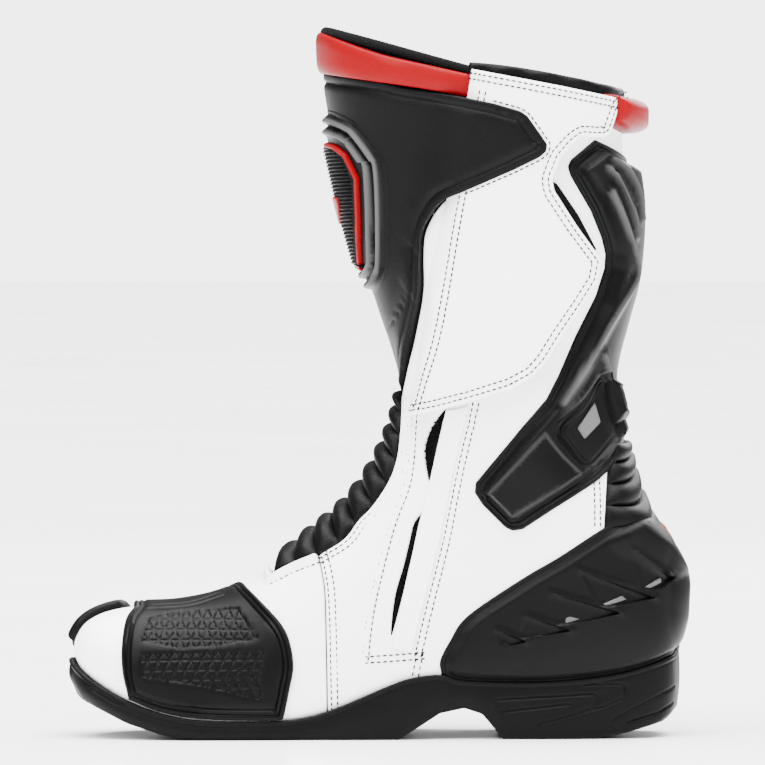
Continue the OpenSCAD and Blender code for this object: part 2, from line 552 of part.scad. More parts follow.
// The slider runs along a straight line between these two places
SLIDE_TOP = at(locate(zip_at(300), -1));
SLIDE_END = at(locate(zip_at(190), -1));
SLIDE_X = (SLIDE_END - SLIDE_TOP) / norm(SLIDE_END - SLIDE_TOP);
SLIDE_OUT =
    let (c = locate(zip_at(245), -1), n = outward(c[0], c[1]), q = n - (n * SLIDE_X) * SLIDE_X)
    q / norm(q);
SLIDE_SIDE = cross(SLIDE_OUT, SLIDE_X);
PIN_X = slider_l / 2 - 2.6;
PLATE = [3.6, 4.6];
module on_zip() {
    multmatrix([for (k = [0:2]) [SLIDE_X[k], SLIDE_SIDE[k], SLIDE_OUT[k], SLIDE_TOP[k]]]) children();
}
module zip_slider() color("#9a9da1") on_zip() {
    width = chain_w + 4;
    translate([-slider_l / 2, -width / 2, PLATE[0]]) cube([slider_l, width, PLATE[1] - PLATE[0]]);
    for (side = [-1, 1])
        translate([-slider_l / 2, side * (width / 2 - 0.6) - 0.6, PLATE[0] - 1.1]) cube([slider_l, 1.2, 1.2]);
    translate([PIN_X, 0, PLATE[1] - 0.2]) cylinder(d = pin_d, h = 1.5, $fn = 32);
}
module zip_puller() color("#2a2a2c") on_zip() translate([PIN_X, 0, PLATE[1] + 0.25]) difference() {
    union() {
        cylinder(d = pin_d + 4, h = 1, $fn = 32);
        translate([0, -2.2, 0]) cube([puller_l, 4.4, 1]);
    }
    translate([0, 0, -1]) cylinder(d = pin_d + 0.5, h = 3, $fn = 32);
}

module hook_strip() color("#2b2b2e")
    panel(grid(medial_line([76, 300], [74, 232]), medial_line([89, 301], [95, 240]), 12, 3), HOOK);
module loop_strip() color("#3a3a3e")
    panel(grid(medial_line([76, 300], [74, 232]), medial_line([89, 301], [94, 240]), 12, 3), LOOP);

module flap_root() color("#ededeb")
    panel(grid(medial_line(HINGE[0] - [11, 14], HINGE[1] + [-10, 40]),
        medial_line(HINGE[0] - [6, 14], HINGE[1] + [-5.5, 40]), 14, 2), [layer_gap, FLAP[1]]);
FLAP_EDGE = [[115.5, 314], [114, 311], [113.5, 299], [99, 297], [90, 286], [83, 276], [90, 264], [106, 237],
    [100, 218], [91, 201], [82, 187], [72, 176], [58, 171], [30, 166]];
module closure_flap() color("#f4f4f2")
    panel(grid(medial_line(HINGE[0] - [0.2, 1.5], HINGE[1] + [0, 2]), on_side(cut(FLAP_EDGE)), 22, 8), FLAP);
WING_EDGE = [[59, 313], [70, 309], [80, 298], [83, 292], [80, 286], [66, 280], [51, 274]];
module flap_wing() color("#1f1f21")
    panel(grid(medial_line([56, 315.5], [48.5, 275]), medial(WING_EDGE), 12, 4), WING);

outsole();
insole_board();
footbed();
foot_lining_toe();
foot_lining_middle();
foot_lining_heel_medial();
foot_lining_heel_lateral();
toe_cap();
vamp();
quarter_medial();
quarter_lateral();
shift_pad();
toe_slider();
toe_slider_screw_1();
toe_slider_screw_2();
heel_cup();
heel_vents();
heel_reflector();
instep_bellows();
heel_bellows();
ankle_gusset_medial();
ankle_gusset_lateral();
zip_guard_strip();
zip_chain_lower();
shaft_lining_low();
shaft_lining_top();
shin_panel();
shin_guard();
shin_guard_frame();
shin_guard_insert();
calf_medial_front();
calf_medial_rear();
calf_lateral();
collar_front();
collar_rear();
collar_gusset();
brace_spine();
brace_arm_medial();
brace_arm_lateral();
brace_vents();
rear_guard();
lateral_guard();
zip_tape();
zip_chain();
zip_stops();
hook_strip();
flap_root();
closure_flap();
flap_wing();
loop_strip();
zip_slider();
zip_puller();
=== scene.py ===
"""Looks of a motorcycle riding boot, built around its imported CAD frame."""
import math

import bpy
import numpy as np
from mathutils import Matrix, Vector
from mathutils.geometry import delaunay_2d_cdt
from mathutils.kdtree import KDTree


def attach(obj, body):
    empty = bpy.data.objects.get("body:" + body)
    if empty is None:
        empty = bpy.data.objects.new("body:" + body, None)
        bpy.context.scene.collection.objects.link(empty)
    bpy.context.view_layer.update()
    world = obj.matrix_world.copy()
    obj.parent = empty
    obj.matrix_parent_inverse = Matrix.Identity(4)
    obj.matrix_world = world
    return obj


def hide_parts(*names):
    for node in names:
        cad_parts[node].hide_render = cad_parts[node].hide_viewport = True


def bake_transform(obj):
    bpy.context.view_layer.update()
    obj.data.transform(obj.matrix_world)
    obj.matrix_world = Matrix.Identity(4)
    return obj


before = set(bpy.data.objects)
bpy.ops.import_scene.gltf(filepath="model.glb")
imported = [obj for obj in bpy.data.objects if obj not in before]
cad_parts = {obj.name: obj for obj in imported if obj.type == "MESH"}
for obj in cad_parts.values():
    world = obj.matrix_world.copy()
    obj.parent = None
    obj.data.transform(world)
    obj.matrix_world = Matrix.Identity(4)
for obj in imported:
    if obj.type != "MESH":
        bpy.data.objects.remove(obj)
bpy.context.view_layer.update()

bl_info = {
    "name": "Riding Boot",
    "version": (1, 0, 0),
    "blender": (4, 5, 0),
    "location": "3D View > Sidebar > Boot",
    "description": "Builds the leather, armour, sole and closures of a riding boot",
    "category": "Object",
}

MM = 0.001
PI = math.pi

# ---------------------------------------------------------------- reference surface

# Sections of the boot from the toe tip to the rim, in millimetres: front x and z, back x and z, half
# width, middle y, place of the widest point, squareness of the front and back halves. They are the
# sections that the CAD frame is built on.
SECTIONS = np.array([
    [-150.0, 44.0, -150.0, 43.0, 0.0, -7.0, 0.50, 2.2, 2.2],
    [-148.0, 51.0, -148.0, 35.5, 14.0, -7.0, 0.52, 2.2, 2.4],
    [-143.0, 57.0, -142.0, 27.0, 25.0, -7.0, 0.55, 2.2, 2.7],
    [-133.5, 61.5, -131.0, 18.0, 33.5, -6.0, 0.60, 2.2, 3.2],
    [-119.0, 64.0, -114.0, 9.5, 40.5, -4.0, 0.66, 2.2, 4.0],
    [-99.0, 65.0, -92.0, 5.0, 45.0, -2.0, 0.72, 2.2, 5.0],
    [-79.0, 69.0, -70.0, 4.5, 47.0, 0.0, 0.74, 2.3, 5.0],
    [-61.0, 77.0, -45.0, 5.0, 47.0, 0.5, 0.72, 2.3, 5.0],
    [-46.0, 89.0, -15.0, 10.0, 45.5, 1.0, 0.68, 2.4, 5.0],
    [-30.0, 102.0, 20.0, 19.0, 43.5, 1.5, 0.62, 2.6, 5.0],
    [-16.0, 114.0, 60.0, 22.0, 42.5, 1.5, 0.58, 2.8, 4.8],
    [-4.0, 129.0, 100.0, 22.5, 42.5, 1.5, 0.54, 3.0, 4.6],
    [4.5, 145.0, 140.0, 34.0, 42.5, 1.5, 0.50, 3.0, 3.8],
    [10.0, 160.0, 149.0, 62.0, 43.5, 1.5, 0.48, 3.0, 2.8],
    [12.0, 175.0, 146.0, 89.0, 45.0, 1.5, 0.47, 2.9, 2.4],
    [8.0, 192.0, 130.0, 117.0, 46.0, 2.0, 0.47, 2.7, 2.3],
    [1.5, 211.0, 121.5, 146.0, 47.5, 2.0, 0.48, 2.5, 2.3],
    [-5.5, 234.0, 114.0, 175.0, 49.0, 2.5, 0.49, 2.4, 2.3],
    [-12.5, 259.0, 119.0, 204.0, 50.5, 2.5, 0.50, 2.3, 2.3],
    [-18.5, 284.0, 123.5, 233.0, 52.0, 3.0, 0.50, 2.3, 2.3],
    [-23.5, 308.0, 125.0, 262.0, 53.0, 3.0, 0.50, 2.3, 2.3],
    [-26.5, 328.0, 122.0, 288.0, 54.0, 3.0, 0.50, 2.3, 2.3],
    [-27.5, 345.0, 122.0, 312.0, 54.5, 3.0, 0.50, 2.3, 2.3],
])
LAST = len(SECTIONS) - 1
TIP = SECTIONS[1][[2, 3, 0, 1, 4, 5, 6, 7, 8]] * [1, 1, 1, 1, -1, 1, 1, 1, 1]
ROWS = np.vstack([TIP, SECTIONS, 2 * SECTIONS[-1] - SECTIONS[-2]])


def spline(a, b, c, d, t):
    """The place at t between b and c on a smooth curve through four values."""
    return 0.5 * (2 * b + (c - a) * t + (2 * a - 5 * b + 4 * c - d) * t ** 2
                  + (3 * b - a - 3 * c + d) * t ** 3)


def section(s):
    """The section at place s, counted from the toe tip."""
    s = np.asarray(s, float)
    i = np.clip(np.floor(s), 0, LAST - 1).astype(int)
    return spline(ROWS[i], ROWS[i + 1], ROWS[i + 2], ROWS[i + 3], (s - i)[..., None])


def surface(line):
    """Points in millimetres for rows of (s, phi); phi is 0 in front, and negative on the inner side."""
    line = np.asarray(line, float)
    fx, fz, bx, bz, width, middle, place, front_n, back_n = np.moveaxis(section(line[..., 0]), -1, 0)
    length = np.hypot(bx - fx, bz - fz) + 1e-9
    cos, sin = np.cos(line[..., 1]), np.sin(line[..., 1])
    depth = np.where(cos >= 0, place, 1 - place) * length
    n = np.where(cos >= 0, front_n, back_n)
    radius = ((abs(cos) / depth) ** n + (abs(sin) / np.maximum(width, 0.01)) ** n) ** (-1 / n)
    along = place * length - radius * cos
    return np.stack([fx + (bx - fx) / length * along, middle + radius * sin,
                     fz + (bz - fz) / length * along], -1)


def slopes(line):
    """How the surface moves per unit of s and of phi."""
    line = np.asarray(line, float)
    ds, dp = np.array([0.01, 0.0]), np.array([0.0, 0.006])
    return ((surface(line + ds) - surface(line - ds)) / 0.02,
            (surface(line + dp) - surface(line - dp)) / 0.012)


def outward(line):
    """Unit normals of the surface."""
    along, around = slopes(line)
    n = np.cross(along, around)
    return n / (np.linalg.norm(n, axis=-1, keepdims=True) + 1e-12)


def at(line, height=0.0):
    """Points at a height over the surface."""
    height = np.asarray(height, float)
    return surface(line) + outward(line) * (height[..., None] if height.ndim else height)


def seek(points, side):
    """Rows of (s, phi) for side-view points (x, z) on the inner (-1) or the outer (1) side."""
    x, z = points.T
    low, high = np.zeros_like(x), np.full_like(x, LAST + 0.6)
    for _ in range(40):
        middle = (low + high) / 2
        r = section(middle)
        past = (r[:, 2] - r[:, 0]) * (z - r[:, 1]) - (r[:, 3] - r[:, 1]) * (x - r[:, 0]) > 0
        low, high = np.where(past, middle, low), np.where(past, high, middle)
    r = section(low)
    length = np.hypot(r[:, 2] - r[:, 0], r[:, 3] - r[:, 1]) + 1e-9
    place = r[:, 6] * length
    k = ((x - r[:, 0]) * (r[:, 2] - r[:, 0]) + (z - r[:, 1]) * (r[:, 3] - r[:, 1])) / length - place
    depth, n = np.where(k < 0, place, length - place), np.where(k < 0, r[:, 7], r[:, 8])
    y = r[:, 4] * np.maximum(1 - abs(k / depth) ** n, 0) ** (1 / n)
    return np.stack([low, np.arctan2(side * y, -k)], -1)


def locate(points, side=-1, lift=0.0):
    """Where a line lies that is seen at those side-view points and stands lift above the surface."""
    points = np.asarray(points, float)
    line = seek(points, side)
    for _ in range(4 if lift else 0):
        line = (line + seek(points - lift * outward(line)[:, ::2], side)) / 2
    return line


# ---------------------------------------------------------------- lines on the surface

def bend(points, steps=6):
    """A smooth curve through a few points."""
    p = np.asarray(points, float)
    p = np.vstack([2 * p[0] - p[1], p, 2 * p[-1] - p[-2]])
    t = np.linspace(0, 1, steps, endpoint=False)[:, None]
    return np.vstack([spline(*p[i:i + 4], t) for i in range(len(p) - 3)] + [p[-2]])


def straight(points, steps=8):
    """Straight pieces through a few points, cut short."""
    p = np.asarray(points, float)
    t = np.linspace(0, 1, steps, endpoint=False)[:, None]
    return np.vstack([p[i] + (p[i + 1] - p[i]) * t for i in range(len(p) - 1)] + [p[-1]])


def inner(points, smooth=True, lift=0.0):
    """The surface line on the inner side that is seen at those side-view points."""
    return locate(bend(points) if smooth else straight(points), -1, lift)


def raised(points, lift, fade_in=0, fade_out=0):
    """A straight-sided inner line on lifted leather; the lift fades at the ends over so many points."""
    low, high = inner(points, False), inner(points, False, lift)
    k = np.arange(len(low))
    share = np.minimum((k + 1) / (fade_in + 1), (len(low) - k) / (fade_out + 1)).clip(0, 1)
    return low + (high - low) * share[:, None]


def outer(points, smooth=True):
    """The same line on the outer side."""
    return inner(points, smooth) * [1, -1]


def mirrored(line):
    """The same line on the other side, run backwards."""
    return np.asarray(line)[::-1] * [1, -1]


def over_front(line):
    """An inner line carried on over the front to the outer side."""
    return np.vstack([line, mirrored(line)])


def behind(line):
    """An inner line's mirror image on the outer side, reached round the back."""
    return np.asarray(line) * [1, -1] - [0, 2 * PI]


def round_back(line):
    """An inner line carried on round the back to the outer side."""
    return np.vstack([line, behind(line)[::-1]])


def run_length(line):
    """Millimetres along a surface line up to each of its points."""
    return np.concatenate([[0], np.cumsum(np.linalg.norm(np.diff(surface(line), axis=0), axis=1))])


def parted(line, run, count):
    """A surface line cut into count equal parts."""
    where = np.linspace(0, run[-1], count + 1)
    return np.stack([np.interp(where, run, line[:, k]) for k in range(2)], -1)


def even(line, step, closed=False):
    """The same line in steps of about step millimetres."""
    line = np.asarray(line, float)
    if closed:
        line = np.vstack([line, line[:1]])
    line = straight(line, 4)
    run = run_length(line)
    out = parted(line, run, max(int(run[-1] / step), 2))
    return out[:-1] if closed else out


def beside(line, distance):
    """A line at a distance in millimetres to the left of a line, seen from outside."""
    line = np.asarray(line, float)
    along, around = slopes(line)
    way = np.gradient(surface(line), axis=0)
    n = outward(line)
    aside = np.cross(n, way)
    aside /= np.linalg.norm(aside, axis=1, keepdims=True) + 1e-12
    aside = aside * np.asarray(distance, float).reshape(-1, 1) if np.ndim(distance) else aside * distance
    # solve aside = ds * along + dp * around
    aa, ab, bb = (along * along).sum(1), (along * around).sum(1), (around * around).sum(1)
    pa, pb = (aside * along).sum(1), (aside * around).sum(1)
    det = aa * bb - ab * ab + 1e-12
    return line + np.stack([(pa * bb - pb * ab) / det, (pb * aa - pa * ab) / det], -1)


# ---------------------------------------------------------------- panels

def within(points, polygon):
    """Which points of the plane lie inside a polygon."""
    x, y = points[:, 0][:, None], points[:, 1][:, None]
    ax, ay = polygon.T
    bx, by = np.roll(polygon, -1, axis=0).T
    inside = np.zeros(len(points), bool)
    for start in range(0, len(points), 4000):
        part = slice(start, start + 4000)
        crosses = (ay > y[part]) != (by > y[part])
        at_x = (bx - ax) * (y[part] - ay) / np.where(by == ay, 1e-12, by - ay) + ax
        inside[part] = (crosses & (x[part] < at_x)).sum(1) % 2 == 1
    return inside


def nearest(points, line, closed=False):
    """The nearest place of a line to each point, both in a plane, and the side it lies on."""
    a = line if closed else line[:-1]
    b = np.roll(line, -1, axis=0) if closed else line[1:]
    d = b - a
    dd = (d * d).sum(1) + 1e-12
    place, side = np.zeros_like(points), np.zeros(len(points))
    for start in range(0, len(points), 2000):
        p = points[start:start + 2000, None, :]
        t = np.clip(((p - a) * d).sum(2) / dd, 0, 1)
        q = a + d * t[..., None]
        k = ((p - q) ** 2).sum(2).argmin(1)
        rows = np.arange(len(k))
        place[start:start + 2000] = q[rows, k]
        e = p[:, 0, :] - a[k]
        side[start:start + 2000] = np.sign(d[k, 0] * e[:, 1] - d[k, 1] * e[:, 0])
    return place, side


class Patch:
    """Points of a panel, with the distances that its height is worked out from."""

    def __init__(self, line, scale):
        self.line = line
        self.scale = scale
        self.base = surface(line)
        self.x, self.y, self.z = self.base.T

    def near(self, line, closed=False):
        """Distance in millimetres to a surface line."""
        place, _ = nearest(self.line * self.scale, even(line, 1.2, closed) * self.scale, closed)
        return np.linalg.norm(surface(place / self.scale) - self.base, axis=1)

    def beyond(self, line):
        """Signed distance in millimetres, positive to the left of the line seen from outside."""
        place, side = nearest(self.line * self.scale, even(line, 1.2) * self.scale)
        return side * np.linalg.norm(surface(place / self.scale) - self.base, axis=1)

    def inside(self, outline):
        return within(self.line, np.asarray(outline))


def ramp(d, start, end):
    """0 before start, 1 after end, smooth between."""
    t = np.clip((d - start) / (end - start), 0, 1)
    return t * t * (3 - 2 * t)


def dome(d, radius):
    """The height of a round edge at distance d from it."""
    return np.sqrt(np.maximum(1 - (1 - np.clip(d / radius, 0, 1)) ** 2, 0))


def groove(d, width):
    """A round-bottomed channel of that half width, 1 in its middle."""
    return np.maximum(1 - (d / width) ** 2, 0) ** 1.5


def new_piece(name, points, faces, finish, edge=None, sharp=38, tint=None):
    """A finished mesh object at the origin; points are in millimetres. edge is the distance to the piece's
    edge and the last argument the share of a painted highlight, a lighter tone, both given for every point."""
    mesh = bpy.data.meshes.new(name)
    mesh.from_pydata((np.asarray(points) * MM).tolist(), [], [list(f) for f in faces])
    mesh.validate()
    mesh.update()
    mesh.shade_smooth()
    mesh.set_sharp_from_angle(angle=math.radians(sharp))
    for label, values in (("edge", edge), ("tint", tint)):
        if values is not None and len(values) == len(mesh.vertices):
            mesh.attributes.new(label, "FLOAT", "POINT").data.foreach_set("value", np.asarray(values, float))
    mesh.materials.append(finish)
    piece = bpy.data.objects.new(name, mesh)
    bpy.context.scene.collection.objects.link(piece)
    return piece


class Sheet:
    """A panel's mesh in the plane of (s, phi), with its border, its holes and the lines that it follows."""

    def __init__(self, border, holes):
        along, around = slopes(border)
        self.scale = np.array([np.linalg.norm(along, axis=1).mean(), np.linalg.norm(around, axis=1).mean()])
        x, y = (border * self.scale).T
        area = (x * np.roll(y, -1) - y * np.roll(x, -1)).sum()
        self.border = border[::-1] if area < 0 else border
        self.holes = holes
        self.loops = [self.border] + holes
        self.points, self.edges = [], []
        for loop in self.loops:
            self.add(loop, True, np.ones(len(loop), bool))

    def add(self, line, closed, keep):
        """Takes in the kept points of a line, and the edges between neighbours."""
        number = sum(len(p) for p in self.points) + np.cumsum(keep) - 1
        for i in range(len(line) if closed else len(line) - 1):
            j = (i + 1) % len(line)
            if keep[i] and keep[j]:
                self.edges.append((int(number[i]), int(number[j])))
        self.points.append(line[keep])

    def gap(self, patch):
        """Distance in millimetres to the border or the nearest hole."""
        gap = np.full(len(patch.line), 1e9)
        for loop in self.loops:
            place, _ = nearest(patch.line * self.scale, loop * self.scale, True)
            gap = np.minimum(gap, np.linalg.norm(surface(place / self.scale) - patch.base, axis=1))
        return gap

    def clearance(self, line):
        """The same distance for a line's points, negative off the sheet."""
        gap = self.gap(Patch(line, self.scale))
        solid = within(line * self.scale, self.border * self.scale)
        for loop in self.holes:
            solid &= ~within(line * self.scale, loop * self.scale)
        return np.where(solid, gap, -gap)

    def follow(self, rings, lines):
        """Adds rings at those distances from the border and the holes, and rows beside the lines."""
        for k, loop in enumerate(self.loops):
            closed_loop = np.vstack([loop[-1:], loop, loop[:1]])
            for radius in rings:
                for side in ((1,) if k == 0 else (1, -1)):
                    ring = beside(closed_loop, radius * side)[1:-1]
                    self.add(ring, True, self.clearance(ring) > 0.9 * radius)
        for line, offsets in lines:
            path = even(line, 1.1)
            for offset in offsets:
                row = beside(path, offset) if offset else path
                self.add(row, False, self.clearance(row) > rings[0] + 0.15)

    def grid(self, outline, step):
        """A staggered grid of points over an outline's box."""
        low, high = (outline * self.scale).min(0), (outline * self.scale).max(0)
        x, y = np.meshgrid(np.arange(low[0], high[0], step), np.arange(low[1], high[1], step * 0.87))
        x[1::2] += step / 2
        return np.stack([x.ravel(), y.ravel()], -1) / self.scale

    def fill(self, spacing, dense):
        """Adds points wherever there is room, closer together inside the dense outlines."""
        taken = KDTree(sum(len(p) for p in self.points))
        for i, q in enumerate(np.vstack(self.points) * self.scale):
            taken.insert((q[0], q[1], 0), i)
        taken.balance()
        plain = self.grid(self.border, spacing)
        fields = [(spacing, plain)]
        for outline, step in dense:
            fields[0] = (spacing, fields[0][1][~within(fields[0][1], outline)])
            cells = self.grid(outline, step)
            fields.append((step, cells[within(cells, outline)]))
        for step, cells in fields:
            cells = cells[self.clearance(cells) > 0.55 * step]
            far = [taken.find((q[0], q[1], 0))[2] > 0.5 * step for q in cells * self.scale]
            self.points.append(cells[np.array(far, bool)])

    def triangles(self):
        """The places of the mesh's points, and its triangles, all turned outward."""
        flat = np.vstack(self.points) * self.scale
        rim = [list(range(len(self.border)))]
        found = delaunay_2d_cdt([Vector(q) for q in flat], self.edges, rim, 1, 1e-5)
        line = np.array([tuple(q) for q in found[0]]) / self.scale
        triangles = np.array([f for f in found[2] if len(f) == 3])
        for loop in self.holes:
            triangles = triangles[~within(line[triangles].mean(1), loop)]
        used = np.unique(triangles)
        renumber = np.full(len(line), -1)
        renumber[used] = np.arange(len(used))
        line, triangles = line[used], renumber[triangles]
        a, b, c = line[triangles.T]
        turned = (b[:, 0] - a[:, 0]) * (c[:, 1] - a[:, 1]) - (b[:, 1] - a[:, 1]) * (c[:, 0] - a[:, 0]) < 0
        triangles[turned] = triangles[turned][:, ::-1]
        return line, triangles


def open_edges(triangles):
    """The edges that only one triangle has."""
    single = {}
    for f in triangles.tolist():
        for a, b in zip(f, f[1:] + f[:1]):
            if single.pop((b, a), None) is None:
                single[(a, b)] = True
    return list(single)


def panel(name, outline, height, finish, under=-1.5, spacing=2.2, rings=(0.25, 0.6, 1.1), lines=(), holes=(),
          dense=(), sharp=38, tint=None):
    """A shaped sheet inside an outline on the surface. height(patch, edge) gives its outer height, under its
    inner one, and the last argument its share of painted highlight, a lighter tone. lines are (line, offsets)
    that the mesh follows; dense are (outline, spacing)."""
    border = even(outline, min(1.3, spacing * 0.6), closed=True)
    sheet = Sheet(border, [even(hole, 0.9, closed=True) for hole in holes])
    sheet.follow(rings, lines)
    sheet.fill(spacing, dense)
    line, triangles = sheet.triangles()
    patch = Patch(line, sheet.scale)
    edge = sheet.gap(patch)
    top = height(patch, edge)
    under = under(patch, edge) if callable(under) else np.full(len(line), float(under))
    count = len(line)
    faces = [tuple(f) for f in triangles] + [tuple(f[::-1] + count) for f in triangles]
    faces += [(i, i + count, j + count, j) for i, j in open_edges(triangles)]
    n = outward(line)
    places = np.vstack([patch.base + n * top[:, None], patch.base + n * under[:, None]])
    highlight_values = None if tint is None else np.concatenate([tint(patch, edge), edge * 0])
    return new_piece(name, places, faces, finish, np.concatenate([edge, edge * 0]), sharp, highlight_values)


def coons(a, b, left, right, nu, nv):
    """A grid of surface places between four lines; a and b run across, left and right along."""
    def cut(line, n):
        fine = straight(line, 4)
        return parted(fine, run_length(fine), n)
    p, q = cut(a, nu), cut(b, nu)
    l, r = cut(left, nv), cut(right, nv)
    u, v = np.linspace(0, 1, nu + 1)[None, :, None], np.linspace(0, 1, nv + 1)[:, None, None]
    return ((1 - v) * p + v * q + (1 - u) * l[:, None] + u * r[:, None]
            - ((1 - v) * ((1 - u) * p[0] + u * p[-1]) + v * ((1 - u) * q[0] + u * q[-1])))


def grid_piece(name, cells, top, under, finish, round_trip=False, sharp=38):
    """A solid over a grid of surface places, with heights for every place."""
    nv, nu = cells.shape[:2]
    n = outward(cells)
    base = surface(cells)
    under = np.broadcast_to(np.asarray(under, float), (nv, nu))
    points = np.vstack([(base + n * top[..., None]).reshape(-1, 3),
                        (base + n * under[..., None]).reshape(-1, 3)])
    m = nv * nu
    across = cells[0, -1] - cells[0, 0]
    up = cells[-1, 0] - cells[0, 0]
    flip = up[0] * across[1] - up[1] * across[0] < 0
    faces = []

    def quad(*f):
        faces.append(f[::-1] if flip else f)

    def spot(i, j):
        return j * nu + i % nu
    last = nu if round_trip else nu - 1
    for j in range(nv - 1):
        for i in range(last):
            quad(spot(i, j), spot(i, j + 1), spot(i + 1, j + 1), spot(i + 1, j))
            quad(m + spot(i, j), m + spot(i + 1, j), m + spot(i + 1, j + 1), m + spot(i, j + 1))
    for i in range(last):
        quad(spot(i, 0), spot(i + 1, 0), m + spot(i + 1, 0), m + spot(i, 0))
        quad(spot(i + 1, nv - 1), spot(i, nv - 1), m + spot(i, nv - 1), m + spot(i + 1, nv - 1))
    if not round_trip:
        for j in range(nv - 1):
            quad(spot(0, j + 1), spot(0, j), m + spot(0, j), m + spot(0, j + 1))
            quad(spot(nu - 1, j), spot(nu - 1, j + 1), m + spot(nu - 1, j + 1), m + spot(nu - 1, j))
    return new_piece(name, points, faces, finish, None, sharp)


# ---------------------------------------------------------------- materials

class Value:
    """A shader socket that reads as a number in expressions."""

    def __init__(self, finish, socket):
        self.finish = finish
        self.socket = socket

    def _math(self, operation, *others):
        return self.finish.node("ShaderNodeMath", {"operation": operation}, *others)

    def __add__(self, other): return self._math("ADD", self, other)
    def __radd__(self, other): return self._math("ADD", other, self)
    def __sub__(self, other): return self._math("SUBTRACT", self, other)
    def __rsub__(self, other): return self._math("SUBTRACT", other, self)
    def __mul__(self, other): return self._math("MULTIPLY", self, other)
    def __rmul__(self, other): return self._math("MULTIPLY", other, self)
    def __truediv__(self, other): return self._math("DIVIDE", self, other)
    def __pow__(self, other): return self._math("POWER", self, other)
    def least(self, other): return self._math("MINIMUM", self, other)
    def most(self, other): return self._math("MAXIMUM", self, other)
    def sine(self): return self._math("SINE", self)
    def size(self): return self._math("ABSOLUTE", self)


class Finish:
    """A material with one Principled shader."""

    def __init__(self, name, colour, roughness, **fixed):
        self.material = bpy.data.materials.new(name)
        self.material.use_nodes = True
        self.tree = self.material.node_tree
        self.shader = next(n for n in self.tree.nodes if n.type == "BSDF_PRINCIPLED")
        self.shader.inputs["Base Color"].default_value = (*colour, 1)
        self.shader.inputs["Roughness"].default_value = roughness
        for key, value in fixed.items():
            self.shader.inputs[key.replace("_", " ")].default_value = value
        self.place = self.node("ShaderNodeTexCoord", {}, out="Object")

    def node(self, kind, settings=None, *values, out=0, **named):
        made = self.tree.nodes.new(kind)
        for key, value in (settings or {}).items():
            if key == "stops":
                for stop, (where, colour) in zip(self._stops(made, len(value)), value):
                    stop.position = where
                    stop.color = colour if len(colour) == 4 else (*colour, 1)
            else:
                setattr(made, key, value)
        for key, value in list(enumerate(values)) + list(named.items()):
            socket = made.inputs[key if isinstance(key, int) else key.replace("_", " ")]
            if isinstance(value, Value):
                self.tree.links.new(value.socket, socket)
            else:
                socket.default_value = value
        return Value(self, made.outputs[out])

    @staticmethod
    def _stops(made, count):
        stops = made.color_ramp.elements
        while len(stops) < count:
            stops.new(0.5)
        return stops

    def noise(self, scale, detail=3.0, roughness=0.5, vector=None):
        return self.node("ShaderNodeTexNoise", {}, Vector=vector or self.place, Scale=scale, Detail=detail,
                         Roughness=roughness, out="Fac")

    def cells(self, scale, feature="F1", vector=None):
        return self.node("ShaderNodeTexVoronoi", {"feature": feature}, Vector=vector or self.place,
                         Scale=scale, out="Distance")

    def attribute(self, name):
        return self.node("ShaderNodeAttribute", {"attribute_name": name}, out="Fac")

    def mix(self, factor, a, b):
        made = self.tree.nodes.new("ShaderNodeMix")
        made.data_type = "RGBA"
        for socket, value in ((made.inputs[0], factor), (made.inputs[6], a), (made.inputs[7], b)):
            if isinstance(value, Value):
                self.tree.links.new(value.socket, socket)
            else:
                socket.default_value = (*value, 1) if isinstance(value, tuple) else value
        return Value(self, made.outputs[2])

    def feed(self, name, value):
        self.tree.links.new(value.socket, self.shader.inputs[name])

    def bump(self, height, depth, after=None):
        made = self.tree.nodes.new("ShaderNodeBump")
        made.inputs["Distance"].default_value = depth
        made.inputs["Strength"].default_value = 1.0
        self.tree.links.new(height.socket, made.inputs["Height"])
        if after is not None:
            self.tree.links.new(after.socket, made.inputs["Normal"])
        self.feed("Normal", Value(self, made.outputs[0]))
        return Value(self, made.outputs[0])


def tone(colour, share):
    """A colour made darker or lighter."""
    return tuple(min(c * share, 1.0) for c in colour)


def leather(name, colour, roughness, grain=0.0007, depth=0.00012, crease=0.0004, **fixed):
    """Grained leather: pebbles, soft creases, and cut edges darker, partly as wear and partly as painted
    shade.
    """
    f = Finish(name, colour, roughness, **fixed)
    drift = f.node("ShaderNodeTexNoise", {}, Vector=f.place, Scale=90.0, Detail=2.0, out="Color")
    warped = f.node("ShaderNodeVectorMath", {"operation": "MULTIPLY_ADD"}, drift, (0.004, 0.004, 0.004),
                    f.place)
    pebble = f.cells(1 / grain, vector=warped)
    fine = f.noise(2600.0, 3.0)
    soft = f.noise(28.0, 3.0, 0.45)
    f.bump(pebble * 0.8 + fine * 0.5, depth, f.bump(soft, crease))
    mottle = f.noise(45.0, 4.0, 0.6)
    # Painted shade and wear: within 0.9 mm of a panel's cut edge the colour turns darker, like the shade in a
    # seam where panels meet.
    edge_wear_and_shade = 1 - (f.attribute("edge") / 0.9).least(1.0)
    f.feed("Base Color", f.mix((edge_wear_and_shade * 0.35 + mottle * 0.25).least(1.0), tone(colour, 1.03),
                               tone(colour, 0.84)))
    f.feed("Roughness", roughness - 0.06 + mottle * 0.1 + fine * 0.05)
    return f.material


